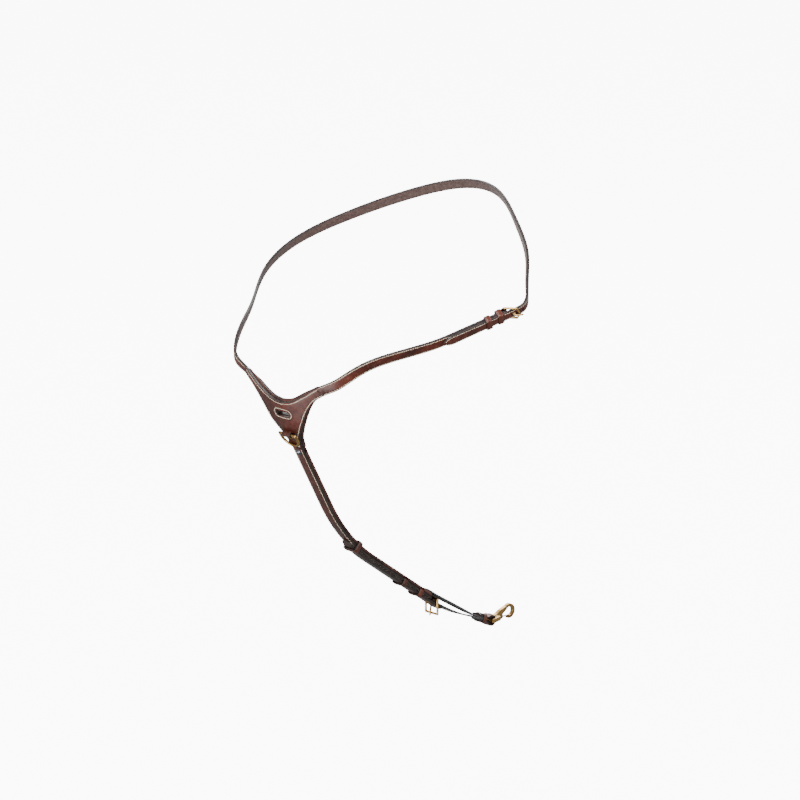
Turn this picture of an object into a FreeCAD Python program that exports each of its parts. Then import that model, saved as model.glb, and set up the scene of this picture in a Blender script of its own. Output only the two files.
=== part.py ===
import FreeCAD, Part
import math
import os

V = FreeCAD.Vector

# A martingale hangs as it is worn: a neck strap from the yoke round to a side buckle, and a stem
# from the yoke back between the forelegs to the girth buckle, two elastics and a snap hook.
# X runs across the horse towards the buckle side, Y runs backwards, Z is up. Design points are
# measured from the middle of the yoke's arm line and moved at the end, so that the origin lies
# where the neck strap rests on the withers.
NECK_REST = V(0, 340.6, 190.2)

# Leather
NECK_WIDTH = 14.0
NECK_THICK = 3.8
YOKE_THICK = 3.6
YOKE_LINING_THICK = 6.0
STEM_WIDTH = 17.0
STEM_THICK = 3.8
STEM_LINING_WIDTH = 19.0
STEM_LINING_THICK = 4.2
BILLET_WIDTH = 16.0
BILLET_THICK = 3.6
KEEPER_LENGTH = 8.0
KEEPER_WALL = 1.5
SLIDE_GAP = 0.4
LAYER_GAP = 0.1
PUNCH_RADIUS = 1.8
PUNCH_PITCH = 25.0

# Neck loop: control points of a cubic B-spline, with the way the strap's top edge points.
BUCKLE_POINT = V(203, 190, 92)
BUCKLE_RUN = V(0.363, 0.877, 0.316).normalize()
BUCKLE_TOP = V(0.35, -0.5, 0.8)
RUN_SPACING = (-100, -70, -40, -10, 15, 30)
NEAR_SIDE = [
    (V(68, 0, 0), V(-0.35, -0.25, 0.9)),
    (V(92, 5, 13), V(-0.2, -0.3, 0.9)),
    (V(118, 27, 39), V(0.1, -0.35, 0.92)),
    (V(141, 62, 50), V(0.18, -0.4, 0.9)),
]
BUCKLE_HINTS = [V(0.2, -0.4, 0.9), V(0.25, -0.45, 0.87)] + [BUCKLE_TOP] * 4
FAR_SIDE = [
    (V(189, 237, 123), V(0.5, -0.3, 0.6)),
    (V(161, 272, 148), V(0.35, -0.2, 0.8)),
    (V(105, 304, 173), V(0.25, -0.35, 0.9)),
    (V(40, 343, 196), V(0, -0.45, 0.9)),
    (V(-38, 348, 190), V(0, -0.45, 0.9)),
    (V(-111, 311, 161), V(0.1, -0.42, 0.9)),
    (V(-170, 280, 132), V(0.25, -0.38, 0.9)),
    (V(-213, 223, 103), V(0.35, -0.3, 0.9)),
    (V(-206, 155, 76), V(0.45, -0.3, 0.85)),
    (V(-153, 92, 53), V(0.5, -0.3, 0.7)),
    (V(-120, 36, 41), V(0.33, -0.3, 0.85)),
    (V(-95, -2, 14), V(0.33, -0.35, 0.9)),
    (V(-70, -1, -1), V(0.25, -0.2, 0.93)),
]
LIFT_START = 9.0
LIFT_LENGTH = 4.0
BILLET_TIP = -89.0
BILLET_POINT_LENGTH = 14.0

# Neck buckle, in a frame on its heel bar: x along the strap, y to the top edge, z outwards
BAR_RADIUS = 1.5
BAR_FIT = 0.06
BAR_DROP = 3.6
CHAPE_RADIUS = 3.5
NECK_FRAME_HALF = 9.2
NECK_FRAME_SIDE = 15.5
NECK_FRAME_BULGE = 3.2
NECK_FRAME_TILT = 33.0
TONGUE_RADIUS = 1.2
TONGUE_SLOT = 4.4
TONGUE_HUB = 3.0
NECK_TONGUE = [V(2.0, 0, -3.0), V(7.5, 0, -1.7), V(11.0, 0, 7.8), V(18.5, 0, 10.6)]
FIXED_KEEPER_AT = -8.5
SLIDING_KEEPER_AT = -25.0
TURN_BACK = (-13.0, -6.1)

# Yoke: a curved plate in two flat falls that meet at the fold, outline given as
# (half width, distance down the plate from the arm line)
YOKE_RADIUS = 180.0
FOLD_DISTANCE = 51.4
UPPER_SLOPE = 17.0
STEM_SLOPE = 29.0
MIDDLE_SLOPE = (UPPER_SLOPE + STEM_SLOPE) / 2
YOKE_FOLD = V(0, 2.2, -53.05)
YOKE_TOP = [(0, 22), (17, 19), (38, 9), (64.4, -6)]
YOKE_SIDE = [(71.6, 6), (58, 13), (47.5, 22.5), (38, 35), (29.5, 49), (20, 64), (12.5, 77), (9, 92)]
LINING_PROUD = 2.2
LINING_REACH = 63.8
SLOT_WIDTH = 24.0
SLOT_HEIGHT = 7.0
SLOT_DISTANCE = 38.0

# Stem: straight from the fold, one easy bend, then straight to the girth buckle. Places along
# it are distances from the fold.
STEM_FALL = 141.7
BEND_RADIUS = 250.0
BEND_TURN = 26.0
BEND_END = STEM_FALL + BEND_RADIUS * math.radians(BEND_TURN)
STEM_START = 41.5
STEM_END = 383.0
LINING_END = 379.0
STEM_HEEL = 389.0
UPPER_KEEPER_AT = 220.2
MIDDLE_KEEPER_AT = 324.4
LOWER_KEEPER_AT = 357.8
GIRTH_TIP = 200.6
GIRTH_BILLET_END = 404.0
GIRTH_HOLE_COUNT = 6
GIRTH_TONGUE_LEAN = 3.2
GIRTH_FRAME_HALF = 10.5
GIRTH_FRAME_HEIGHT = 19.0

# Dee and stud
DEE_DISTANCE = 16.1
DEE_RADIUS = 1.85
DEE_HALF = 14.0
DEE_LEG = 6.0
DEE_LIFT = 3.9
DEE_LEAN = 5.5
DEE_CHAPE_WIDTH = 14.0
DEE_CHAPE_RADIUS = 3.7
STUD_DISTANCE = 49.6
STUD_RADIUS = 4.5
STUD_HEIGHT = 2.4
POST_RADIUS = 1.5
WASHER_RADIUS = 3.4
WASHER_THICK = 0.8

# Elastics and tab; the tab's own frame is x along it, y to +X of the model, z forwards and down
ELASTIC_WIDTH = 14.0
ELASTIC_THICK = 2.0
TAB_START = V(0, 336, -374.3)
TAB_SLOPE = 69.0
TAB_WIDTH = 15.0
TAB_THICK = 2.4
TAB_POCKET = 11.0
TAB_LENGTH = 15.0
TAB_KEEPER_AT = 8.7
TAB_KEEPER_LENGTH = 6.0
LOOP_AT = 23.3
LOOP_RADIUS = 4.9

# Snap, drawn with x from its bar to its tip, y along the bar and z to the mouth's side
SNAP_BAR_AT = V(LOOP_AT, 0, 0)
SNAP_SWING = 28.0
SNAP_BAR_RADIUS = 1.7
SNAP_ARM_GAP = 7.9
SNAP_ARM_THICK = 2.8
SNAP_ARM_HALF_TALL = 2.7
SNAP_BRIDGE = (8.8, 12.4)
SNAP_THICK = 4.6
EYE = V(35.6, 0, -0.3)
EYE_RADIUS = 9.4
THROAT_RADIUS = 5.7
NOSE_NOTCH = 7.5
GATE_PIVOT = V(20.6, 0, 3.0)
GATE_TIP = V(31.7, 0, 5.0)
EAR_RADIUS = 2.7
EAR_GAP = (-1.4, 1.3)
GATE_SPAN = (-0.6, 1.0)
GATE_HUB = 1.9
GATE_THICK = 1.3
PIN_RADIUS = 0.8
PIN_FIT = 0.05
COIL_SPAN = (-1.25, -0.8)
COIL_RADIUS = 1.5


def spline_point(points, t):
    """Point of a uniform cubic B-spline that starts and ends on its first and last points."""
    span = min(int(t), len(points) - 2)
    f = t - span
    chain = [points[0] * 2 - points[1]] + list(points) + [points[-1] * 2 - points[-2]]
    a, b, c, d = chain[span:span + 4]
    sum_ab = a * (1 - f) ** 3 + b * (3 * f ** 3 - 6 * f ** 2 + 4)
    sum_cd = c * (-3 * f ** 3 + 3 * f ** 2 + 3 * f + 1) + d * f ** 3
    return (sum_ab + sum_cd) / 6


def spline_frame(points, hints, t):
    """Place, run, width direction and outward normal of a strap at t."""
    step = 0.01
    last = len(points) - 1
    place = spline_point(points, t)
    run = spline_point(points, min(t + step, last)) - spline_point(points, max(t - step, 0))
    run.normalize()
    hint = spline_point(hints, t)
    side = hint - run * hint.dot(run)
    side.normalize()
    return place, run, side, run.cross(side)


def ruled(first, second):
    """Face of straight lines between two curves that share their knots."""
    surface = Part.BSplineSurface()
    surface.buildFromPolesMultsKnots(
        [first.getPoles(), second.getPoles()], [2, 2], first.getMultiplicities(),
        [0, 1], first.getKnots(), False, False, 1, first.Degree)
    return surface.toShape()


def strap(frames, width, low, high):
    """Solid strap through the frames; low and high are functions of the frame's index."""
    half = width / 2
    knots = [float(index) for index in range(len(frames))]
    rails = []
    for across, level in ((half, high), (-half, high), (-half, low), (half, low)):
        points = []
        for index, (place, run, side, out) in enumerate(frames):
            points.append(place + side * across + out * level(index))
        curve = Part.BSplineCurve()
        curve.interpolate(Points=points, Parameters=knots)
        rails.append(curve)
    faces = [ruled(rails[index], rails[(index + 1) % 4]) for index in range(4)]
    for end in (0, -1):
        corners = [rail.getPoles()[end] for rail in rails]
        faces.append(Part.Face(Part.makePolygon(corners + corners[:1])))
    shell = Part.makeShell(faces)
    shell.sewShape()
    solid = Part.makeSolid(shell)
    if solid.Volume < 0:
        solid.reverse()
    return solid


def placed(shape, origin, along, side, out):
    """Shape moved from its own frame to one with the given origin and axes."""
    matrix = FreeCAD.Matrix(along.x, side.x, out.x, origin.x, along.y, side.y, out.y, origin.y,
                            along.z, side.z, out.z, origin.z, 0, 0, 0, 1)
    return shape.transformed(matrix, True)


def rod(start, end, radius):
    return Part.makeCylinder(radius, (end - start).Length, start, end - start)


def box(low, high):
    return Part.makeBox(high.x - low.x, high.y - low.y, high.z - low.z, low)


def fused(shapes):
    return shapes[0].multiFuse(shapes[1:]).removeSplitter()


def prism(points, depth):
    """Closed outline of points pushed along the vector depth."""
    return Part.Face(Part.makePolygon(points + points[:1])).extrude(depth)


def chain_of_rods(points, radius):
    """Round bar through the points, with a ball at every point."""
    pieces = [Part.makeSphere(radius, point) for point in points]
    pieces += [rod(start, end, radius) for start, end in zip(points, points[1:])]
    return fused(pieces)


def keeper(low, high, length, at):
    """Leather loop round the box of straps given by (low, high) in y and z, centred on x = at."""
    wall = KEEPER_WALL
    x0 = at - length / 2
    outer = box(V(x0, low[0] - wall, low[1] - wall), V(x0 + length, high[0] + wall, high[1] + wall))
    inner = box(V(x0 - 1, low[0], low[1]), V(x0 + length + 1, high[0], high[1]))
    return outer.makeFillet(1.2, long_edges(outer)).cut(inner)


def long_edges(block):
    """Edges of a block that run along x."""
    found = []
    for edge in block.Edges:
        first, last = edge.Vertexes[0].Point, edge.Vertexes[-1].Point
        if abs(first.y - last.y) + abs(first.z - last.z) < 1e-6:
            found.append(edge)
    return found


# ---- neck loop ---------------------------------------------------------------------------

LOOP_POINTS = [point for point, hint in NEAR_SIDE]
LOOP_POINTS += [BUCKLE_POINT + BUCKLE_RUN * step for step in RUN_SPACING]
LOOP_POINTS += [point for point, hint in FAR_SIDE]
LOOP_HINTS = [hint for point, hint in NEAR_SIDE] + BUCKLE_HINTS + [hint for point, hint in FAR_SIDE]
LOOP_END = len(LOOP_POINTS) - 1


def loop_frame(t):
    return spline_frame(LOOP_POINTS, LOOP_HINTS, t)


def loop_at(distance):
    """Parameter of the loop's point at a distance along the buckle's run from the heel bar."""
    low, high = 3.0, 9.5
    for _ in range(50):
        middle = (low + high) / 2
        along = (loop_frame(middle)[0] - BUCKLE_POINT).dot(BUCKLE_RUN)
        low, high = (middle, high) if along < distance else (low, middle)
    return (low + high) / 2


def loop_strap(t0, t1, low, high):
    """Neck strap between two parameters; low and high are functions of the parameter."""
    count = max(4, int((t1 - t0) * 4))
    stops = [t0 + (t1 - t0) * index / count for index in range(count + 1)]
    frames = [loop_frame(t) for t in stops]
    return strap(frames, NECK_WIDTH, lambda i: low(stops[i]), lambda i: high(stops[i]))


def outer_level(t):
    """The long strap lies on the buckle strap at the buckle and sinks level with it beyond."""
    f = min(max((t - LIFT_START) / LIFT_LENGTH, 0), 1)
    return LAYER_GAP + (NECK_THICK + LAYER_GAP) * (-(3 - 2 * f) * f * f)


def buckle_frame():
    place, run, side, out = loop_frame(loop_at(0))
    return BUCKLE_POINT, run, side, out


def on_buckle(shape):
    return placed(shape, *buckle_frame())


def neck_buckle_strap():
    body = loop_strap(0, loop_at(-CHAPE_RADIUS - 0.3), lambda t: -NECK_THICK, lambda t: 0)
    return body.cut(yoke_front())


def neck_strap():
    tip = loop_at(BILLET_TIP)
    body = loop_strap(tip, LOOP_END, outer_level, lambda t: outer_level(t) + NECK_THICK)
    half = NECK_WIDTH / 2
    place, run, side, out = loop_frame(tip)
    for sign in (1, -1):
        corner = [V(-2, sign * 1.0, -3), V(-2, sign * (half + 2), -3),
                  V(BILLET_POINT_LENGTH, sign * (half + 2), -3), V(BILLET_POINT_LENGTH, sign * half, -3)]
        body = body.cut(placed(prism(corner, V(0, 0, 10)), place, run, side, out))
    slot = box(V(6.2, -1.7, -1), V(12.8, 1.7, 5))
    body = body.cut(on_buckle(slot))
    for index in (0, 1, 2):
        t = loop_at(22) + index * 0.95
        place, run, side, out = loop_frame(t)
        body = body.cut(rod(place - out * 6, place + out * 6, PUNCH_RADIUS))
    return body.cut(yoke_front())


def neck_chape():
    drop = -BAR_DROP
    half = NECK_WIDTH / 2
    tube = rod(V(0, -half, drop), V(0, half, drop), CHAPE_RADIUS)
    end, low = TURN_BACK
    top = -NECK_THICK - LAYER_GAP
    corners = [(end, top), (-2, top), (-1, drop - CHAPE_RADIUS), (-4, low), (end, low)]
    flap = prism([V(x, -half, z) for x, z in corners], V(0, NECK_WIDTH, 0))
    body = fused([tube, flap])
    body = body.cut(rod(V(0, -half - 1, drop), V(0, half + 1, drop), BAR_RADIUS + BAR_FIT))
    slot = TONGUE_SLOT / 2
    return on_buckle(body.cut(box(V(-4, -slot, -8), V(5, slot, 1))))


def neck_buckle_bar():
    """Frame of the neck buckle, lying in the plane z = 0 with its heel bar on the y axis."""
    half, side, r = NECK_FRAME_HALF, NECK_FRAME_SIDE, BAR_RADIUS
    front = Part.Arc(V(side, half, 0), V(side + NECK_FRAME_BULGE, 0, 0), V(side, -half, 0)).toShape()
    ring = Part.Wire([Part.Circle(V(side, half, 0), V(1, 0, 0), r).toShape()])
    bow = Part.Wire([front]).makePipeShell([ring], True, True)
    corners = [V(side, -half, 0), V(0, -half, 0), V(0, half, 0), V(side, half, 0)]
    return fused([chain_of_rods(corners, r), bow])


def neck_buckle_frame():
    body = neck_buckle_bar()
    body.rotate(V(0, 0, 0), V(0, 1, 0), -NECK_FRAME_TILT)
    body.translate(V(0, 0, -BAR_DROP))
    return on_buckle(body)


def tongue(points, pivot, across):
    """Buckle tongue: a hub round the heel bar at pivot and a shank through the points."""
    hub = rod(pivot - across * 1.5, pivot + across * 1.5, TONGUE_HUB)
    shank = chain_of_rods(points, TONGUE_RADIUS)
    bore = rod(pivot - across * 3, pivot + across * 3, BAR_RADIUS + BAR_FIT)
    return fused([hub, shank]).cut(bore)


def neck_buckle_tongue():
    return on_buckle(tongue(NECK_TONGUE, V(0, 0, -BAR_DROP), V(0, 1, 0)))


def neck_keeper(at, gap, back):
    """Leather loop round both layers of the strap, and round the turned back flap at back."""
    low = (-NECK_WIDTH / 2 - gap, back - gap)
    high = (NECK_WIDTH / 2 + gap, NECK_THICK + LAYER_GAP + gap)
    return on_buckle(keeper(low, high, KEEPER_LENGTH, at))


# ---- yoke --------------------------------------------------------------------------------

def fall(slope):
    """Direction down a fall of the given slope, in degrees from the vertical."""
    angle = math.radians(slope)
    return V(0, math.sin(angle), -math.cos(angle))


def facing(slope):
    angle = math.radians(slope)
    return V(0, -math.cos(angle), -math.sin(angle))


def yoke_band(outer, inner):
    """Curved plate between two depths below the yoke's face, pushed up and down from the fold."""
    out = facing(MIDDLE_SLOPE)
    reach = 78.0
    corners = []
    for depth in (outer, inner):
        radius = YOKE_RADIUS - depth
        sag = radius - math.sqrt(radius ** 2 - reach ** 2)
        edge = -(depth + sag)
        corners.append([V(-reach, 0, edge), V(0, 0, -depth), V(reach, 0, edge)])
    top, low = corners
    section = Part.Face(Part.Wire([
        Part.Arc(*top).toShape(), Part.LineSegment(top[2], low[2]).toShape(),
        Part.Arc(low[2], low[1], low[0]).toShape(), Part.LineSegment(low[0], top[0]).toShape()]))
    section = placed(section, YOKE_FOLD, V(1, 0, 0), fall(MIDDLE_SLOPE) * -1, out)
    upper = section.extrude(fall(UPPER_SLOPE) * -80)
    lower = section.extrude(fall(STEM_SLOPE) * 60)
    return upper.fuse(lower)


def moved_out(points, distance):
    """Outline points pushed sideways, to the side that runs up from a left to right line."""
    moved = []
    for index, (width, down) in enumerate(points):
        w0, d0 = points[max(index - 1, 0)]
        w1, d1 = points[min(index + 1, len(points) - 1)]
        length = math.hypot(w1 - w0, d1 - d0)
        moved.append((width + (d1 - d0) / length * distance, down - (w1 - w0) / length * distance))
    return moved


def yoke_outline(grow):
    """Outline of the yoke, grown all round, as a prism square to its middle slope."""
    arch = moved_out([(-w, d) for w, d in reversed(YOKE_TOP[1:])] + YOKE_TOP, grow)
    flank = moved_out(YOKE_SIDE, grow)
    sides = (arch, flank, [(-w, d) for w, d in reversed(flank)])
    top, right, left = [[V(w, FOLD_DISTANCE - d, 0) for w, d in side] for side in sides]
    edges = []
    for points, following in ((top, right), (right, left), (left, top)):
        curve = Part.BSplineCurve()
        curve.interpolate(points)
        edges.append(curve.toShape())
        edges.append(Part.LineSegment(points[-1], following[0]).toShape())
    solid = Part.Face(Part.Wire(edges)).extrude(V(0, 0, 80))
    solid.translate(V(0, 0, -60))
    return placed(solid, YOKE_FOLD, V(1, 0, 0), fall(MIDDLE_SLOPE) * -1, facing(MIDDLE_SLOPE))


def slot_cutter(extra):
    """Oblong cutter square to the yoke's upper fall; extra widens it all round."""
    half = SLOT_HEIGHT / 2 + extra
    reach = (SLOT_WIDTH - SLOT_HEIGHT) / 2
    through = 20
    ends = [Part.makeCylinder(half, 2 * through, V(x, 0, -through)) for x in (-reach, reach)]
    bar = box(V(-reach, -half, -through), V(reach, half, through))
    centre = YOKE_FOLD + fall(UPPER_SLOPE) * (SLOT_DISTANCE - FOLD_DISTANCE)
    cutter = fused(ends + [bar])
    return placed(cutter, centre, V(1, 0, 0), fall(UPPER_SLOPE) * -1, facing(UPPER_SLOPE))


def yoke_front():
    body = yoke_band(0, YOKE_THICK).common(yoke_outline(0))
    body = body.cut(slot_cutter(0))
    return body


def yoke_lining():
    depth = YOKE_THICK + LAYER_GAP
    body = yoke_band(depth, depth + YOKE_LINING_THICK).common(yoke_outline(LINING_PROUD))
    limit = box(V(-LINING_REACH, -60, -200), V(LINING_REACH, 60, 60))
    tail = stem_band(STEM_START, 80, -40, 40, 60)
    return body.common(limit).cut(tail).cut(slot_cutter(0.4))


# ---- stem --------------------------------------------------------------------------------

def stem_place(distance, out=0.0):
    """Point on the stem at a distance from the fold, raised outwards, in the plane x = 0."""
    if distance <= STEM_FALL:
        base, slope = YOKE_FOLD + fall(STEM_SLOPE) * distance, STEM_SLOPE
    else:
        centre = YOKE_FOLD + fall(STEM_SLOPE) * STEM_FALL - facing(STEM_SLOPE) * BEND_RADIUS
        turned = min(math.degrees((distance - STEM_FALL) / BEND_RADIUS), BEND_TURN)
        slope = STEM_SLOPE + turned
        base = centre + facing(slope) * BEND_RADIUS + fall(slope) * max(distance - BEND_END, 0)
    return base + facing(slope) * out


def stem_slope(distance):
    bend = math.degrees((distance - STEM_FALL) / BEND_RADIUS)
    return STEM_SLOPE + min(max(bend, 0), BEND_TURN)


def stem_band(start, end, low, high, width):
    """Strap along the stem between two distances and two levels, as wide as width."""
    stops = [start] + [stop for stop in (STEM_FALL, BEND_END) if start < stop < end] + [end]
    edges = []
    for level, order in ((high, stops), (low, stops[::-1])):
        for first, last in zip(order, order[1:]):
            p, q = stem_place(first, level), stem_place(last, level)
            middle = (first + last) / 2
            if STEM_FALL < middle < BEND_END:
                edges.append(Part.Arc(p, stem_place(middle, level), q).toShape())
            else:
                edges.append(Part.LineSegment(p, q).toShape())
        other = low if level == high else high
        last = order[-1]
        edges.append(Part.LineSegment(stem_place(last, level), stem_place(last, other)).toShape())
    face = Part.Face(Part.Wire(edges))
    face.translate(V(-width / 2, 0, 0))
    return face.extrude(V(width, 0, 0))


def on_stem(shape, distance):
    """Shape moved from a frame with x along the stem, y to +X of the model and z outwards."""
    slope = stem_slope(distance)
    return placed(shape, stem_place(distance), fall(slope), V(1, 0, 0), facing(slope))


def punch(body, distances, radius):
    for distance in distances:
        body = body.cut(on_stem(rod(V(0, 0, -6), V(0, 0, 6), radius), distance))
    return body


def stem_strap():
    body = stem_band(STEM_START, STEM_END, -STEM_THICK, 0, STEM_WIDTH)
    return punch(body, [STUD_DISTANCE], POST_RADIUS)


def stem_keeper_band(distance, low, half, wall):
    start, end = distance - KEEPER_LENGTH / 2, distance + KEEPER_LENGTH / 2
    high = LAYER_GAP + BILLET_THICK + SLIDE_GAP
    outer = stem_band(start, end, low - wall, high + wall, 2 * (half + wall))
    inner = stem_band(start - 1, end + 1, low, high, 2 * half)
    return outer.cut(inner)


def fixed_stem_keeper(distance):
    return stem_keeper_band(distance, -STEM_THICK - 0.05, STEM_WIDTH / 2 + 0.2, 1.4)


def upper_sliding_keeper():
    low = -STEM_THICK - LAYER_GAP - STEM_LINING_THICK - SLIDE_GAP
    return stem_keeper_band(UPPER_KEEPER_AT, low, STEM_LINING_WIDTH / 2 + SLIDE_GAP, KEEPER_WALL)


def stem_lining():
    top = -STEM_THICK - LAYER_GAP
    body = stem_band(STEM_START, LINING_END, top - STEM_LINING_THICK, top, STEM_LINING_WIDTH)
    groove = KEEPER_LENGTH / 2 + 0.2
    for distance in (MIDDLE_KEEPER_AT, LOWER_KEEPER_AT):
        body = body.cut(stem_band(distance - groove, distance + groove, -STEM_THICK - 1.7, 0, 30))
    pocket = rod(V(0, 0, -STEM_THICK - LAYER_GAP - WASHER_THICK - 0.1), V(0, 0, 0), WASHER_RADIUS + 0.1)
    return body.cut(on_stem(pocket, STUD_DISTANCE))


def girth_billet():
    body = stem_band(GIRTH_TIP, GIRTH_BILLET_END, LAYER_GAP, LAYER_GAP + BILLET_THICK, BILLET_WIDTH)
    half = BILLET_WIDTH / 2
    for sign in (1, -1):
        corner = [V(-2, sign * 1.0, -4), V(-2, sign * (half + 2), -4),
                  V(15, sign * (half + 2), -4), V(15, sign * half, -4)]
        body = body.cut(on_stem(prism(corner, V(0, 0, 12)), GIRTH_TIP))
    hole = STEM_HEEL + 2.5
    body = punch(body, [hole - PUNCH_PITCH * (k + 1) for k in range(GIRTH_HOLE_COUNT)], PUNCH_RADIUS)
    return body.cut(stem_band(hole - 3.2, hole + 3.2, -1, 6, 3.4))


def heel_place():
    return stem_place(STEM_HEEL, -STEM_THICK - LAYER_GAP)


def girth_chape():
    heel = heel_place()
    half = STEM_WIDTH / 2
    across = V(half, 0, 0)
    tube = rod(heel - across, heel + across, CHAPE_RADIUS)
    back = -STEM_THICK - LAYER_GAP
    tail = stem_band(LINING_END + 0.2, STEM_HEEL, back - 3.4, back - 0.1, STEM_WIDTH)
    front = stem_band(STEM_END + 0.1, STEM_HEEL, back - 0.1, -0.6, STEM_WIDTH)
    bore = rod(heel - across * 1.2, heel + across * 1.2, BAR_RADIUS + BAR_FIT)
    body = fused([tube, tail, front]).cut(bore)
    slot = TONGUE_SLOT / 2
    return body.cut(box(heel + V(-slot, -4, -8), heel + V(slot, 8, 8)))


def girth_buckle_frame():
    heel = heel_place()
    half, height = GIRTH_FRAME_HALF, GIRTH_FRAME_HEIGHT
    corners = [V(-half, 0, 0), V(half, 0, 0), V(half, 0, -height), V(-half, 0, -height), V(-half, 0, 0)]
    return chain_of_rods([heel + corner for corner in corners], BAR_RADIUS)


def girth_buckle_tongue():
    heel = heel_place()
    tip = heel + V(0, -GIRTH_TONGUE_LEAN, -GIRTH_FRAME_HEIGHT - 2)
    start = heel + (tip - heel) * 0.1
    return tongue([start, tip], heel, V(1, 0, 0))


# ---- dee and stud ------------------------------------------------------------------------

def dee_chape():
    half = DEE_CHAPE_WIDTH / 2
    tube = rod(V(0, -half, DEE_LIFT), V(0, half, DEE_LIFT), DEE_CHAPE_RADIUS)
    foot = box(V(-DEE_CHAPE_RADIUS, -half, 0.2), V(DEE_CHAPE_RADIUS, half, DEE_LIFT))
    bore = rod(V(0, -half - 1, DEE_LIFT), V(0, half + 1, DEE_LIFT), DEE_RADIUS + BAR_FIT)
    return on_stem(fused([tube, foot]).cut(bore), DEE_DISTANCE)


def dee_ring():
    """D of round bar: straight bar in the chape, two legs and a half circle."""
    half, leg, r = DEE_HALF, DEE_LEG, DEE_RADIUS
    bow = Part.makeTorus(half, r, V(leg, 0, 0), V(0, 0, 1), -180, 180, 180)
    bow.rotate(V(leg, 0, 0), V(0, 0, 1), -90)
    bars = chain_of_rods([V(leg, -half, 0), V(0, -half, 0), V(0, half, 0), V(leg, half, 0)], r)
    body = fused([bars, bow])
    body.rotate(V(0, 0, 0), V(0, 1, 0), DEE_LEAN)
    body.translate(V(0, 0, DEE_LIFT))
    return on_stem(body, DEE_DISTANCE)


def stud_head():
    ball = (STUD_RADIUS ** 2 + STUD_HEIGHT ** 2) / (2 * STUD_HEIGHT)
    cap = Part.makeSphere(ball, V(0, 0, STUD_HEIGHT - ball))
    return on_stem(cap.common(box(V(-9, -9, 0.05), V(9, 9, 9))), STUD_DISTANCE)


def stud_post():
    return on_stem(rod(V(0, 0, -STEM_THICK), V(0, 0, 0.05), POST_RADIUS), STUD_DISTANCE)


def stud_washer():
    top = -STEM_THICK
    return on_stem(rod(V(0, 0, top - WASHER_THICK), V(0, 0, top), WASHER_RADIUS), STUD_DISTANCE)


# ---- elastics, tab and snap --------------------------------------------------------------

def on_tab(shape):
    return placed(shape, TAB_START, fall(TAB_SLOPE), V(1, 0, 0), facing(TAB_SLOPE))


def tab_place(x, z):
    return TAB_START + fall(TAB_SLOPE) * x + facing(TAB_SLOPE) * z


def elastic(points):
    """Webbing through the control points, as thick as it is woven."""
    side = V(1, 0, 0)
    last = len(points) - 1
    count = last * 3
    frames = [spline_frame(points, [side] * (last + 1), last * i / count) for i in range(count + 1)]
    half = ELASTIC_THICK / 2
    return strap(frames, ELASTIC_WIDTH, lambda i: -half, lambda i: half)


def in_tab(level):
    """Control points that run an elastic straight into the tab at a level of the tab's z."""
    return [tab_place(x, level) for x in (-8, 0, 5, 10)]


def upper_elastic():
    level = -STEM_THICK - LAYER_GAP - STEM_LINING_THICK - ELASTIC_THICK / 2 - LAYER_GAP
    points = [stem_place(distance, level) for distance in (370, 382, 394)]
    points += [V(0, 288, -346), V(0, 306, -357)] + in_tab(-ELASTIC_THICK / 2 - 0.05)
    return elastic(points)


def lower_elastic():
    points = [stem_place(distance, -ELASTIC_THICK / 2) for distance in (395, 400, 405)]
    points += [V(0, 285, -354.5), V(0, 305, -364)] + in_tab(ELASTIC_THICK / 2 + 0.05)
    return elastic(points)


def snap_tab():
    """Leather folded round the snap's bar, its two layers sewn over the ends of the elastics."""
    half = TAB_WIDTH / 2
    inside = ELASTIC_THICK + LAYER_GAP
    level = inside + TAB_THICK
    outer_loop = LOOP_RADIUS + TAB_THICK
    wide = V(0, TAB_WIDTH, 0)
    wider = V(0, TAB_WIDTH + 2, 0)
    flat = box(V(0, -half, -level), V(TAB_LENGTH, half, level))
    ring = rod(V(LOOP_AT, -half, 0), V(LOOP_AT, half, 0), outer_loop)
    lean = 2.2
    flare = prism([V(TAB_LENGTH - 3, -half, -level), V(LOOP_AT - lean, -half, -outer_loop + 0.3),
                   V(LOOP_AT - lean, -half, outer_loop - 0.3), V(TAB_LENGTH - 3, -half, level)], wide)
    body = fused([flat, ring, flare])
    body = body.cut(box(V(-1, -half - 1, -inside), V(TAB_POCKET, half + 1, inside)))
    body = body.cut(rod(V(LOOP_AT, -half - 1, 0), V(LOOP_AT, half + 1, 0), LOOP_RADIUS))
    mouth = prism([V(TAB_LENGTH - 1, -half - 1, 0), V(LOOP_AT - lean, -half - 1, -LOOP_RADIUS + 0.5),
                   V(LOOP_AT - lean, -half - 1, LOOP_RADIUS - 0.5)], wider)
    return on_tab(body.cut(mouth))


def tab_keeper():
    level = ELASTIC_THICK + LAYER_GAP + TAB_THICK + 0.05
    half = TAB_WIDTH / 2 + 0.05
    return on_tab(keeper((-half, -level), (half, level), TAB_KEEPER_LENGTH, TAB_KEEPER_AT))


def on_snap(shape):
    shape = shape.copy()
    shape.rotate(V(0, 0, 0), V(0, 1, 0), SNAP_SWING)
    shape.translate(SNAP_BAR_AT)
    return on_tab(shape)


def snap_slice(outline, thick):
    """Slice of the snap square to its bar, from an outline of (x, z) corners."""
    return prism([V(x, -thick / 2, z) for x, z in outline], V(0, thick, 0))


def snap_disc(centre, radius, span):
    return Part.makeCylinder(radius, span[1] - span[0], centre + V(0, span[0], 0), V(0, 1, 0))


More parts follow.
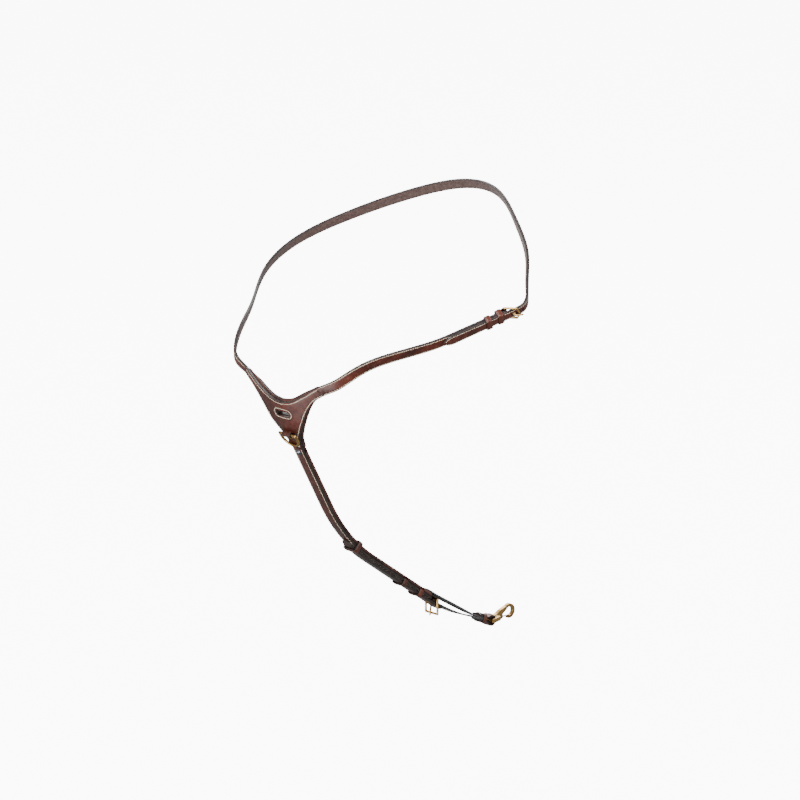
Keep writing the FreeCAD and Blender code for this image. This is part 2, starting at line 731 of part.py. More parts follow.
def snap_hook():
    """Cast hook: bar, two arms and a bridge round the tab, and an eye with an open mouth."""
    gap, tall = SNAP_ARM_GAP, SNAP_ARM_HALF_TALL
    near, far = SNAP_BRIDGE
    wide = gap + SNAP_ARM_THICK
    whole = (-SNAP_THICK / 2, SNAP_THICK / 2)
    bar = rod(V(0, -wide, 0), V(0, wide, 0), SNAP_BAR_RADIUS)
    arms = [rod(V(0, gap * s, 0), V(0, wide * s, 0), tall) for s in (1, -1)]
    arms += [box(V(0, low, -tall), V(far - 1, low + SNAP_ARM_THICK, tall)) for low in (gap, -wide)]
    bridge = box(V(near, -wide + 0.6, -tall + 0.4), V(far, wide - 0.6, tall - 0.4))
    back = [(near, -tall + 0.4), (14, -4.0), (20, -6.4), (30.5, -8.5), (34, -2), (24, 4.6), (20, 5.6),
            (14, 3.6), (near, tall - 0.4)]
    eye = snap_disc(EYE, EYE_RADIUS, whole)
    body = fused([bar, bridge, snap_slice(back, SNAP_THICK), eye] + arms)
    deep = SNAP_THICK + 2
    past = (-deep / 2, deep / 2)
    body = body.cut(snap_disc(EYE, THROAT_RADIUS, past))
    body = body.cut(snap_slice([(23.4, 0.3), (34, -5.7), (37, 0), (34, 5), (24.5, 3.5)], deep))
    body = body.cut(snap_slice([(23.4, 0.6), (33, 0.6), (31.6, 6), (31.6, 13), (21.9, 13), (23.4, 5)], deep))
    body = body.cut(snap_disc(EYE, NOSE_NOTCH, past).common(box(V(26, -5, 1.5), V(34.2, 5, 10))))
    body = body.fuse(snap_disc(GATE_PIVOT, EAR_RADIUS, whole))
    room = GATE_HUB + 0.35
    body = body.cut(box(GATE_PIVOT + V(-room, EAR_GAP[0], -room), GATE_PIVOT + V(6, EAR_GAP[1], 6)))
    return on_snap(body.cut(snap_disc(GATE_PIVOT, PIN_RADIUS, past)).removeSplitter())


def snap_gate():
    wide = GATE_SPAN[1] - GATE_SPAN[0]
    run = (GATE_TIP - GATE_PIVOT).normalize()
    across = V(-run.z, 0, run.x) * (GATE_THICK / 2)
    low = V(0, GATE_SPAN[0], 0)
    corners = [GATE_PIVOT + across, GATE_TIP + across, GATE_TIP - across, GATE_PIVOT - across]
    bar = prism([corner + low for corner in corners], V(0, wide, 0))
    body = fused([bar, snap_disc(GATE_PIVOT, GATE_HUB, GATE_SPAN)])
    return on_snap(body.cut(snap_disc(GATE_PIVOT, PIN_RADIUS + PIN_FIT, (-5, 5))))


def gate_pin():
    return on_snap(snap_disc(GATE_PIVOT, PIN_RADIUS, (-SNAP_THICK / 2, SNAP_THICK / 2)))


def gate_spring():
    """Coil that closes the gate, round the pin beside the gate's hub, as one closed ring."""
    ring = snap_disc(GATE_PIVOT, COIL_RADIUS, COIL_SPAN)
    return on_snap(ring.cut(snap_disc(GATE_PIVOT, PIN_RADIUS + 0.15, (-5, 5))))


NODES = {
    "yoke_front": yoke_front,
    "yoke_lining": yoke_lining,
    "neck_strap": neck_strap,
    "neck_buckle_strap": neck_buckle_strap,
    "neck_chape": neck_chape,
    "neck_buckle_frame": neck_buckle_frame,
    "neck_buckle_tongue": neck_buckle_tongue,
    "neck_fixed_keeper": lambda: neck_keeper(FIXED_KEEPER_AT, LAYER_GAP, TURN_BACK[1]),
    "neck_sliding_keeper": lambda: neck_keeper(SLIDING_KEEPER_AT, SLIDE_GAP, -NECK_THICK),
    "dee_chape": dee_chape,
    "dee_ring": dee_ring,
    "stud_head": stud_head,
    "stud_post": stud_post,
    "stud_washer": stud_washer,
    "stem_strap": stem_strap,
    "stem_lining": stem_lining,
    "girth_billet": girth_billet,
    "girth_sliding_keeper": upper_sliding_keeper,
    "girth_middle_keeper": lambda: fixed_stem_keeper(MIDDLE_KEEPER_AT),
    "girth_lower_keeper": lambda: fixed_stem_keeper(LOWER_KEEPER_AT),
    "girth_chape": girth_chape,
    "girth_buckle_frame": girth_buckle_frame,
    "girth_buckle_tongue": girth_buckle_tongue,
    "upper_elastic": upper_elastic,
    "lower_elastic": lower_elastic,
    "snap_tab": snap_tab,
    "tab_keeper": tab_keeper,
    "snap_hook": snap_hook,
    "snap_gate": snap_gate,
    "gate_pin": gate_pin,
    "gate_spring": gate_spring,
}

os.makedirs("parts", exist_ok=True)
for name, make in NODES.items():
    shape = make()
    shape.translate(NECK_REST * -1)
    shape.exportStep(f"parts/{name}.step")
    size = shape.BoundBox
    print(f"{name:22s} solids {len(shape.Solids)} valid {shape.isValid()} volume {shape.Volume:9.1f}")
    print(f"    x {size.XMin:.1f} {size.XMax:.1f} y {size.YMin:.1f} {size.YMax:.1f} "
          f"z {size.ZMin:.1f} {size.ZMax:.1f}")
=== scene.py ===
import math

import bmesh
import bpy
import numpy as np
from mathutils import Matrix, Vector


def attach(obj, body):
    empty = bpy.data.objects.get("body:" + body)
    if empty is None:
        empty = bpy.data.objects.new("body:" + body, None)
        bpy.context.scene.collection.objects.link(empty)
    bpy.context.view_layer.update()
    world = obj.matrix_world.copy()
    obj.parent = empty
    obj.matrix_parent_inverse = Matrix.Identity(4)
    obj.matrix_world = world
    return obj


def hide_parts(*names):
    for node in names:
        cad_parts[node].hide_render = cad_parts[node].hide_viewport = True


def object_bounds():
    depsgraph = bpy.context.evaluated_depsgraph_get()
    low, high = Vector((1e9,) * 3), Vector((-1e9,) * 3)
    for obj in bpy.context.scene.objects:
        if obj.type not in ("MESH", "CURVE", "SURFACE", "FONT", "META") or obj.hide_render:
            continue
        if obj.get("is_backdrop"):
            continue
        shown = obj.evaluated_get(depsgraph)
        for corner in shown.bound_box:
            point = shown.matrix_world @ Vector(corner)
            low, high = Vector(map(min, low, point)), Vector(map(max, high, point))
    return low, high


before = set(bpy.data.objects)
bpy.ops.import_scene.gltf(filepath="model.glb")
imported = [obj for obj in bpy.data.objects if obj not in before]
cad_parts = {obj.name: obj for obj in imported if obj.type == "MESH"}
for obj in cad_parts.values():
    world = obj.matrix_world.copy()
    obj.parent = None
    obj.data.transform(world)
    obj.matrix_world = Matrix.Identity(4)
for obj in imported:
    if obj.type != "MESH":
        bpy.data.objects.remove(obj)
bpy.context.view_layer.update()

# Design points are in millimetres from the middle of the yoke's arm line, as in the CAD; they are
# moved so that the origin lies where the neck strap rests, and turned into metres, in make().
REST = np.array([0, 340.6, 190.2])
MM = 0.001
X = np.array([1.0, 0, 0])


def vec(*values):
    return np.array(values, float)


def unit(v):
    return v / np.linalg.norm(v)


NECK_HALF, NECK_THICK = 7.0, 3.8
YOKE_THICK = 3.6
STEM_HALF, STEM_THICK = 8.5, 3.8
BILLET_HALF, BILLET_THICK = 8.0, 3.6
GAP = 0.1  # between straps that lie on one another
INSET = 1.7  # from a strap's edge to its stitches
CROWN = 0.4  # how far a strap's face falls from its middle to its edges
THREAD_DEPTH = 0.12  # how far the stitches lie under the face
PITCH = 2.9
SLOT_PITCH = 2.6  # of the stitches round the yoke's slot
BUCKLE = vec(203, 190, 92)
RUN = unit(vec(0.363, 0.877, 0.316))
TOP = vec(0.35, -0.5, 0.8)
LOOP = [
    (vec(68, 0, 0), vec(-0.35, -0.25, 0.9)), (vec(92, 5, 13), vec(-0.2, -0.3, 0.9)),
    (vec(118, 27, 39), vec(0.1, -0.35, 0.92)), (vec(141, 62, 50), vec(0.18, -0.4, 0.9)),
    (BUCKLE - RUN * 100, vec(0.2, -0.4, 0.9)), (BUCKLE - RUN * 70, vec(0.25, -0.45, 0.87)),
    (BUCKLE - RUN * 40, TOP), (BUCKLE - RUN * 10, TOP),
    (BUCKLE + RUN * 15, TOP), (BUCKLE + RUN * 30, TOP),
    (vec(189, 237, 123), vec(0.5, -0.3, 0.6)), (vec(161, 272, 148), vec(0.35, -0.2, 0.8)),
    (vec(105, 304, 173), vec(0.25, -0.35, 0.9)), (vec(40, 343, 196), vec(0, -0.45, 0.9)),
    (vec(-38, 348, 190), vec(0, -0.45, 0.9)), (vec(-111, 311, 161), vec(0.1, -0.42, 0.9)),
    (vec(-170, 280, 132), vec(0.25, -0.38, 0.9)), (vec(-213, 223, 103), vec(0.35, -0.3, 0.9)),
    (vec(-206, 155, 76), vec(0.45, -0.3, 0.85)), (vec(-153, 92, 53), vec(0.5, -0.3, 0.7)),
    (vec(-120, 36, 41), vec(0.33, -0.3, 0.85)), (vec(-95, -2, 14), vec(0.33, -0.35, 0.9)),
    (vec(-70, -1, -1), vec(0.25, -0.2, 0.93)),
]
LOOP_END = len(LOOP) - 1


def spline(points, t):
    """Point of a uniform cubic B-spline that starts and ends on its first and last points."""
    span = min(int(t), len(points) - 2)
    f = t - span
    chain = [points[0] * 2 - points[1]] + list(points) + [points[-1] * 2 - points[-2]]
    a, b, c, d = chain[span:span + 4]
    return (a * (1 - f) ** 3 + b * (3 * f ** 3 - 6 * f ** 2 + 4)
            + c * (-3 * f ** 3 + 3 * f ** 2 + 3 * f + 1) + d * f ** 3) / 6


def frame_at(points, hints, t):
    """Place, run, width direction and outward normal of a strap at t."""
    last = len(points) - 1
    place = spline(points, t)
    run = unit(spline(points, min(t + 0.01, last)) - spline(points, max(t - 0.01, 0)))
    hint = spline(hints, t)
    side = unit(hint - run * hint.dot(run))
    return place, run, side, np.cross(run, side)


LOOP_POINTS = [p for p, h in LOOP]
LOOP_HINTS = [h for p, h in LOOP]


def loop_frame(t):
    return frame_at(LOOP_POINTS, LOOP_HINTS, t)


def loop_at(distance):
    """Parameter of the loop at a distance along RUN from the buckle's heel bar."""
    low, high = 3.0, 9.5
    for _ in range(50):
        middle = (low + high) / 2
        along = (loop_frame(middle)[0] - BUCKLE).dot(RUN)
        low, high = (middle, high) if along < distance else (low, middle)
    return (low + high) / 2


def outer_level(t):
    """Underside of the long strap: over the near strap at first, in line with it further on."""
    f = min(max((t - 9) / 4, 0), 1)
    return GAP - 3.9 * (3 - 2 * f) * f * f


def fall(slope):
    """Direction down a part of the middle plane that leans back by slope degrees."""
    return vec(0, math.sin(math.radians(slope)), -math.cos(math.radians(slope)))


def facing(slope):
    """Outward direction of the same part."""
    return vec(0, -math.cos(math.radians(slope)), -math.sin(math.radians(slope)))


# The yoke folds at FOLD, between its upper slope and the stem's. The stem falls straight from
# there, turns through TURN degrees on the radius BEND, and ends straight.
UPPER_SLOPE, MIDDLE_SLOPE, STEM_SLOPE = 17, 23, 29
FOLD = vec(0, 2.2, -53.05)
STEM_FALL, BEND, TURN = 141.7, 250.0, 26.0
END_SLOPE = STEM_SLOPE + TURN
BEND_END = STEM_FALL + BEND * math.radians(TURN)
GIRTH_HEEL = 389
BILLET_TIP = 200.6
BUCKLE_HOLE, HOLE_PITCH, HOLES = 391.5, 25, 6
FIXED_KEEPERS = (("girth_middle", 324.4), ("girth_lower", 357.8))
TAB_SLOPE = 69


def stem_slope(distance):
    return STEM_SLOPE + min(max(math.degrees((distance - STEM_FALL) / BEND), 0), TURN)


def stem_place(distance, out=0.0):
    """Point of the stem at a distance below FOLD, raised by out from its face."""
    slope = stem_slope(distance)
    if distance <= STEM_FALL:
        base = FOLD + fall(STEM_SLOPE) * distance
    else:
        centre = FOLD + fall(STEM_SLOPE) * STEM_FALL - facing(STEM_SLOPE) * BEND
        base = centre + facing(slope) * BEND + fall(slope) * max(distance - BEND_END, 0)
    return base + facing(slope) * out


def local(origin, along, side, out):
    """Function that takes a point of a frame with these axes to design space."""
    return lambda x, y, z: origin + along * x + side * y + out * z


_, b_run, b_side, b_out = loop_frame(loop_at(0))
on_buckle = local(BUCKLE, b_run, b_side, b_out)
TAB = local(vec(0, 336, -374.3), fall(TAB_SLOPE), X, facing(TAB_SLOPE))


def on_stem(distance):
    slope = stem_slope(distance)
    return local(stem_place(distance), fall(slope), X, facing(slope))


# ---- materials ---------------------------------------------------------------------------

def srgb(r, g, b):
    """Linear colour from 0 to 255 screen values."""
    linear = [((v / 255 + 0.055) / 1.055) ** 2.4 if v > 10 else v / 255 / 12.92 for v in (r, g, b)]
    return (*linear, 1.0)


class Nodes:
    """Short names for building one material's node tree."""

    def __init__(self, name):
        self.material = bpy.data.materials.new(name)
        self.material.use_nodes = True
        self.tree = self.material.node_tree
        self.shader = self.tree.nodes["Principled BSDF"]
        self.object = self.add("ShaderNodeTexCoord").outputs["Object"]
        self.uv = self.add("ShaderNodeTexCoord").outputs["UV"]

    def add(self, kind, **settings):
        node = self.tree.nodes.new(kind)
        for key, value in settings.items():
            setattr(node, key, value)
        return node

    def link(self, source, target):
        self.tree.links.new(source, target)

    def feed(self, socket, value):
        if isinstance(value, bpy.types.NodeSocket):
            self.link(value, socket)
        else:
            socket.default_value = value

    def math(self, operation, first, second=0.0):
        node = self.add("ShaderNodeMath", operation=operation)
        for socket, value in zip(node.inputs, (first, second)):
            self.feed(socket, value)
        return node.outputs[0]

    def noise(self, scale, detail=3.0, rough=0.55):
        node = self.add("ShaderNodeTexNoise")
        self.link(self.object, node.inputs["Vector"])
        node.inputs["Scale"].default_value = scale
        node.inputs["Detail"].default_value = detail
        node.inputs["Roughness"].default_value = rough
        return node.outputs["Fac"]

    def cells(self, scale):
        node = self.add("ShaderNodeTexVoronoi", feature="F1")
        self.link(self.object, node.inputs["Vector"])
        node.inputs["Scale"].default_value = scale
        return node.outputs["Distance"]

    def spread(self, value, low, high, to_low=0.0, to_high=1.0):
        node = self.add("ShaderNodeMapRange", interpolation_type="SMOOTHSTEP")
        for socket, number in zip(node.inputs, (value, low, high, to_low, to_high)):
            self.feed(socket, number)
        return node.outputs[0]

    def mix(self, factor, first, second):
        node = self.add("ShaderNodeMix", data_type="RGBA", blend_type="MIX")
        self.feed(node.inputs[0], factor)
        self.feed(node.inputs[6], first)
        self.feed(node.inputs[7], second)
        return node.outputs[2]

    def bump(self, height, strength, distance, normal=None):
        node = self.add("ShaderNodeBump")
        node.inputs["Strength"].default_value = strength
        node.inputs["Distance"].default_value = distance
        self.link(height, node.inputs["Height"])
        if normal is not None:
            self.link(normal, node.inputs["Normal"])
        return node.outputs[0]

    def set(self, **values):
        for key, value in values.items():
            self.feed(self.shader.inputs[key.replace("_", " ")], value)


def edge_factor(n, half, reach):
    """0 across the strap's middle, rising to 1 at its long edges, from the UV's second value."""
    parts = n.add("ShaderNodeSeparateXYZ")
    n.link(n.uv, parts.inputs[0])
    return n.spread(n.math("ABSOLUTE", parts.outputs[1]), (half - reach) * MM, half * MM)


PALE_EDGE_REACH = 2.6
PALE_EDGE_SHARE = 0.55


def leather(name, dark, base, light, rough, half=None, coat=0.22, grain=0.12):
    """Bridle leather: waxed, finely grained, mottled, paler in patches near a strap's long edges.
    """
    n = Nodes(name)
    dark, base, light = srgb(*dark), srgb(*base), srgb(*light)
    patches = n.noise(22, 3, 0.6)
    mottle = n.noise(160, 4, 0.65)
    fibre = n.noise(900, 3, 0.6)
    colour = n.mix(n.spread(patches, 0.35, 0.65), dark, base)
    colour = n.mix(n.math("MULTIPLY", n.spread(mottle, 0.5, 0.75), 0.4), colour, light)
    colour = n.mix(n.math("MULTIPLY", n.spread(fibre, 0.55, 0.8), 0.25), colour, dark)
    roughness = n.spread(mottle, 0.3, 0.7, rough - 0.06, rough + 0.09)
    if half:
        # The face is drawn paler in patches near its long edges, mixed towards the light colour.
        edge = edge_factor(n, half, PALE_EDGE_REACH)
        pale_edge = n.math("MULTIPLY", edge, n.spread(n.noise(55, 4, 0.7), 0.4, 0.65))
        colour = n.mix(n.math("MULTIPLY", pale_edge, PALE_EDGE_SHARE), colour, light)
    pores = n.bump(n.cells(1150), grain, 0.0002)
    creases = n.bump(n.noise(420, 5, 0.7), grain * 1.2, 0.0004, pores)
    n.set(Base_Color=colour, Roughness=roughness, Normal=creases, Coat_Weight=coat,
          Coat_Roughness=0.2, Specular_IOR_Level=0.42)
    return n.material


def edge_paint(name):
    """Dark waxed edge of cut leather."""
    n = Nodes(name)
    colour = n.mix(n.spread(n.noise(130, 4), 0.35, 0.7), srgb(22, 17, 16), srgb(48, 34, 30))
    n.set(Base_Color=colour, Roughness=n.spread(n.noise(300, 3), 0.3, 0.7, 0.34, 0.56),
          Normal=n.bump(n.noise(700, 4, 0.7), 0.2, 0.0004))
    return n.material


def flesh_side(name):
    """Back of the strap: dyed, matt, with a short nap."""
    n = Nodes(name)
    nap = n.spread(n.noise(240, 5, 0.75), 0.3, 0.7)
    n.set(Base_Color=n.mix(nap, srgb(70, 50, 46), srgb(104, 80, 74)),
          Roughness=n.spread(n.noise(500, 4), 0.3, 0.7, 0.55, 0.75),
          Sheen_Weight=0.15, Sheen_Roughness=0.5,
          Normal=n.bump(n.noise(1300, 5, 0.8), 0.35, 0.0004))
    return n.material


def thread(name):
    """Waxed linen, with the turns of its twist across it."""
    n = Nodes(name)
    shade = n.spread(n.noise(300, 3), 0.35, 0.65)
    colour = n.mix(shade, srgb(206, 192, 164), srgb(238, 228, 204))
    twist = n.add("ShaderNodeTexWave", wave_type="BANDS", bands_direction="DIAGONAL")
    n.link(n.uv, twist.inputs["Vector"])
    twist.inputs["Scale"].default_value = 700
    n.set(Base_Color=colour, Roughness=n.spread(n.noise(800, 2), 0.3, 0.7, 0.6, 0.8),
          Normal=n.bump(twist.outputs["Fac"], 0.5, 0.0002))
    return n.material


def metal(name, base, dark, rough):
    """Polished metal with a faint tarnish and fine handling marks."""
    n = Nodes(name)
    base, dark = srgb(*base), srgb(*dark)
    specks = n.math("MULTIPLY", n.spread(n.noise(420, 4, 0.7), 0.55, 0.8), 0.35)
    colour = n.mix(specks, n.mix(n.spread(n.noise(60, 3, 0.6), 0.3, 0.75), base, dark), dark)
    roughness = n.spread(n.noise(240, 4, 0.7), 0.3, 0.7, rough - 0.06, rough + 0.12)
    n.set(Base_Color=colour, Metallic=1.0, Roughness=roughness,
          Normal=n.bump(n.noise(500, 4, 0.7), 0.08, 0.0003))
    return n.material


def webbing(name):
    """Black braided elastic with steep diagonal ribs and a bound edge."""
    n = Nodes(name)
    ribs = n.add("ShaderNodeTexWave", wave_type="BANDS", bands_direction="X", wave_profile="SIN")
    turned = n.add("ShaderNodeMapping")
    turned.inputs["Rotation"].default_value = (0, 0, math.radians(32))
    n.link(n.uv, turned.inputs["Vector"])
    n.link(turned.outputs[0], ribs.inputs["Vector"])
    ribs.inputs["Scale"].default_value = 260
    ribs.inputs["Distortion"].default_value = 0.4
    fine = n.noise(1500, 3, 0.7)
    colour = n.mix(ribs.outputs["Fac"], srgb(14, 13, 14), srgb(44, 41, 42))
    colour = n.mix(n.math("MULTIPLY", n.spread(fine, 0.5, 0.75), 0.3), colour, srgb(66, 62, 62))
    n.set(Base_Color=colour, Roughness=n.spread(fine, 0.3, 0.7, 0.6, 0.82),
          Sheen_Weight=0.3, Sheen_Roughness=0.4,
          Normal=n.bump(fine, 0.25, 0.0003, n.bump(ribs.outputs["Fac"], 0.8, 0.0006)))
    return n.material


FACE = leather("leather_face", (52, 19, 12), (86, 34, 21), (124, 70, 54), 0.33, NECK_HALF)
STEM_FACE = leather("leather_stem", (46, 19, 13), (76, 34, 23), (112, 68, 54), 0.35, STEM_HALF)
GIRTH_FACE = leather("leather_girth", (38, 19, 14), (62, 34, 26), (98, 70, 60), 0.4, BILLET_HALF)
YOKE_FACE = leather("leather_yoke", (52, 19, 12), (88, 34, 20), (118, 60, 44), 0.33)
KEEPER_FACE = leather("leather_keeper", (46, 18, 11), (84, 36, 22), (124, 72, 54), 0.32)
LINING = leather("leather_lining", (40, 22, 17), (76, 44, 36), (112, 76, 66), 0.38, coat=0.1,
                 grain=0.2)
EDGE = edge_paint("edge_paint")
INNER = flesh_side("flesh_side")
THREAD = thread("linen_thread")
BRASS = metal("cast_brass", (204, 166, 104), (146, 110, 62), 0.22)
NICKEL = metal("polished_nickel", (150, 152, 160), (86, 88, 98), 0.2)
STEEL = metal("spring_steel", (160, 160, 160), (96, 96, 98), 0.28)
WEB = webbing("elastic_webbing")


# ---- mesh building -----------------------------------------------------------------------

def make(name, points, faces, materials, face_materials=None, uvs=None, angle=38):
    """Mesh object from design points, with its faces turned outwards and smooth shading."""
    mesh = bpy.data.meshes.new(name)
    mesh.from_pydata(((np.array(points) - REST) * MM).tolist(), [], [list(f) for f in faces])
    for material in materials:
        mesh.materials.append(material)
    if face_materials is not None:
        mesh.polygons.foreach_set("material_index", face_materials)
    layer = mesh.uv_layers.new(name="UVMap")
    if uvs is not None:
        layer.data.foreach_set("uv", (np.array(uvs) * MM).ravel())
    b = bmesh.new()
    b.from_mesh(mesh)
    bmesh.ops.recalc_face_normals(b, faces=b.faces)
    b.to_mesh(mesh)
    b.free()
    mesh.polygons.foreach_set("use_smooth", [True] * len(mesh.polygons))
    mesh.set_sharp_from_angle(angle=math.radians(angle))
    obj = bpy.data.objects.new(name, mesh)
    bpy.context.scene.collection.objects.link(obj)
    return obj


def dress(obj, body, slot, *nodes):
    """Gives a piece its body and hides the CAD nodes that it replaces; slot is not used."""
    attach(obj, body)
    if nodes:
        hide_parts(*nodes)
    return obj


def sweep(name, frames, rings, segments, materials, closed=False, angle=38):
    """Skin over one ring of (across, out) points per frame; segments gives each strip's material.
    The ends take the second material."""
    count = len(rings[0])
    points, faces, kinds, uvs = [], [], [], []
    along = 0.0
    lengths = []
    for index, ((place, across, out), ring) in enumerate(zip(frames, rings)):
        if index:
            along += np.linalg.norm(place - frames[index - 1][0])
        lengths.append(along)
        points += [place + across * a + out * z for a, z in ring]
    lengths.append(along + np.linalg.norm(frames[0][0] - frames[-1][0]))
    total = len(frames) if closed else len(frames) - 1
    for i in range(total):
        j = (i + 1) % len(frames)
        for k in range(count):
            m = (k + 1) % count
            faces.append((i * count + k, i * count + m, j * count + m, j * count + k))
            kinds.append(segments[k])
            u0, u1 = lengths[i], lengths[i + 1]
            v0, v1 = rings[i][k][0], rings[i][m][0]
            uvs += [(u0, v0), (u0, v1), (u1, rings[j][m][0]), (u1, rings[j][k][0])]
    if not closed:
        for i in (0, len(frames) - 1):
            cap = [i * count + k for k in range(count)]
            faces.append(cap)
            kinds.append(1)
            uvs += [(lengths[i], a) for a, z in rings[i]]
    return make(name, points, faces, materials, kinds, uvs, angle)


def crown_drop(a, half, crown, groove):
    """How far the top face lies below its level at a distance a across."""
    drop = crown * (a / half) ** 2
    return drop + (groove if abs(abs(a) - (half - INSET)) < 0.05 else 0)


STRAP_SEGMENTS = [0] * 12 + [1] * 3 + [2, 2] + [1] * 3


def strap_ring(half, low, high, full=None, crown=CROWN, groove=0.22):
    """Section of a flat strap: crowned face with a stitching groove near each edge, painted
    edges and a flat back. full is the width where a tip has narrowed to half."""
    full = full or half
    scale = half / full
    right = [full * 0.3, full - 3.2, full - 2.25, full - INSET, full - 1.15, full - 0.5]
    face = [-a for a in reversed(right)] + [0] + right
    ring = [(a * scale, high - crown_drop(a, full, crown, groove)) for a in face]
    edge = 0.5 * scale
    ring += [(half, high - crown - 0.55), (half, low + 0.5), (half - edge, low), (0, low),
             (-half + edge, low), (-half, low + 0.5), (-half, high - crown - 0.55)]
    return ring


def tip_half(half, x, length):
    """Half width of a billet at a distance x from its rounded point."""
    if x >= length:
        return half
    f = max(x, 0) / length
    return half * max(0.1, (1 - (1 - f) ** 1.9) ** 0.72)


def evenly(points, outs, pitch):
    """Places spaced by pitch along a polyline, each with its run and outward direction."""
    points, outs = np.array(points), np.array(outs)
    steps = np.linalg.norm(np.diff(points, axis=0), axis=1)
    along = np.concatenate([[0], np.cumsum(steps)])

    def at(rows, s):
        return np.array([np.interp(s, along, rows[:, k]) for k in range(3)])

    stops = np.arange(pitch * 0.6, along[-1] - pitch * 0.4, pitch)
    return [(at(points, s), unit(at(points, s + 0.3) - at(points, s - 0.3)), unit(at(outs, s)))
            for s in stops]


# A stitch is a short thread of STITCH_SIDES sides, turned by STITCH_SLANT degrees from its row.
# Each pair is a place along it and the radius there.
STITCH = [(-1.3, 0.12), (-0.9, 0.42), (0.9, 0.42), (1.3, 0.12)]
STITCH_SIDES = 6
STITCH_SLANT = 7.0


def stitches(name, places):
    """Row of separate thread stitches, each half sunk into the leather."""
    points, faces, uvs = [], [], []
    sides = STITCH_SIDES
    angle = math.radians(STITCH_SLANT)
    for place, run, out in places:
        across = np.cross(out, run)
        direction = run * math.cos(angle) + across * math.sin(angle)
        width = np.cross(out, direction)
        base = len(points)
        for x, radius in STITCH:
            for k in range(sides):
                turn = 2 * math.pi * k / sides
                dip = -0.12 if abs(x) > 1 else 0.0
                points.append(place + direction * x + width * radius * math.cos(turn)
                              + out * (radius * 0.8 * math.sin(turn) + dip))
        for i in range(len(STITCH) - 1):
            here, there = base + i * sides, base + (i + 1) * sides
            u0, u1 = STITCH[i][0], STITCH[i + 1][0]
            for k in range(sides):
                m = (k + 1) % sides
                faces.append((here + k, here + m, there + m, there + k))
                uvs += [(u0, k), (u0, k + 1), (u1, k + 1), (u1, k)]
        for i in (0, len(STITCH) - 1):
            faces.append([base + i * sides + k for k in range(sides)])
            uvs += [(STITCH[i][0], k) for k in range(sides)]
    dress(make(name, points, faces, [THREAD], None, uvs, 60), "harness", "bridle_leather")


def prism_object(outline, depth):
    """Cutter with painted walls: an outline of points, drawn out along depth."""
    count = len(outline)
    points = list(outline) + [p + depth for p in outline]
    faces = [list(range(count)), list(range(count, 2 * count))]
    faces += [(k, (k + 1) % count, count + (k + 1) % count, count + k) for k in range(count)]
    return make("cutter", points, faces, [EDGE])


def cut(obj, cutters, angle=38):
    """Takes the cutters out of obj for good, and gives the new walls the cutters' material."""
    for cutter in cutters:
        change = obj.modifiers.new("cut", "BOOLEAN")
        change.operation = "DIFFERENCE"
        change.solver = "EXACT"
        change.material_mode = "TRANSFER"
        change.object = cutter
        graph = bpy.context.evaluated_depsgraph_get()
        mesh = bpy.data.meshes.new_from_object(obj.evaluated_get(graph), depsgraph=graph)
        obj.modifiers.clear()
        old = obj.data
        obj.data = mesh
        bpy.data.meshes.remove(old)
        bpy.data.objects.remove(cutter)
    obj.data.set_sharp_from_angle(angle=math.radians(angle))
    return obj


def round_cutter(place, across, along, out, radius, reach=8.0, stretch=0.0):
    """Round or oblong cutter on the axis out; stretch lengthens it along the strap."""
    outline = []
    for k in range(24):
        turn = 2 * math.pi * k / 24
        shift = stretch / 2 * (1 if math.cos(turn) >= 0 else -1)
        outline.append(place - out * reach + along * (radius * math.cos(turn) + shift)
                       + across * radius * math.sin(turn))
    return prism_object(outline, out * 2 * reach)


# ---- the yoke's shape --------------------------------------------------------------------

# Half of the yoke's outline, in (w, d): w across it and d down it from the arm line.
ARCH = [(0, 22), (17, 19), (38, 9), (64.4, -6)]
FLANK = [(71.6, 6), (58, 13), (47.5, 22.5), (38, 35), (29.5, 49), (20, 64), (12.5, 77), (9, 92)]
YOKE_RADIUS = 180
FOLD_DISTANCE = 51.4
FOLD_TURN = 6  # degrees that each side of the fold leans from MIDDLE_SLOPE
FOLD_ROUND, FOLD_RISE = 3, 0.6


def yoke_normal(w, slope=MIDDLE_SLOPE):
    """Outward direction of the yoke's face at a distance w across it."""
    lean = w / YOKE_RADIUS
    return lean * X + math.sqrt(1 - lean ** 2) * facing(slope)


def yoke_point(w, d, depth):
    """Point of the yoke's curved, folded plate under its face, in design space."""
    q = FOLD_DISTANCE - d
    sag = YOKE_RADIUS - math.sqrt(YOKE_RADIUS ** 2 - w * w)
    h = -sag - math.tan(math.radians(FOLD_TURN)) * (math.sqrt(q * q + FOLD_ROUND ** 2) - FOLD_RISE)
    place = FOLD + w * X - fall(MIDDLE_SLOPE) * q + facing(MIDDLE_SLOPE) * h
    return place - yoke_normal(w) * depth


def arm_frame(sign):
    """Place, upward width direction and outward normal in the middle of an arm's end."""
    upper, lower, inner = (yoke_point(sign * w, d, 0) for w, d in (ARCH[-1], FLANK[0], (67, -0.6)))
    place, across = (upper + lower) / 2, unit(upper - lower)
    run = unit(place - inner) * sign
    run = unit(run - across * run.dot(across))
    return place, across, unit(np.cross(run, across))


# ---- neck straps -------------------------------------------------------------------------

ARM_BLEND = 1.1  # span of the loop's parameter in which a strap turns into the yoke's arm


def neck_frames(ts):
    """Frames of the loop; at both ends they turn smoothly into the frames of the yoke's arms."""
    found = []
    for t in ts:
        place, _, side, out = loop_frame(t)
        for sign, away in ((1, t), (-1, LOOP_END - t)):
            if away < ARM_BLEND:
                f = 1 - away / ARM_BLEND
                f = f * f * (3 - 2 * f)
                arm, arm_side, arm_out = arm_frame(sign)
                place = place + (arm - loop_frame(0 if sign > 0 else LOOP_END)[0]) * f
                side = unit(side * (1 - f) + arm_side * f)
                out = unit(out * (1 - f) + arm_out * f)
                out = unit(out - side * out.dot(side))
        found.append((place, side, out))
    return found


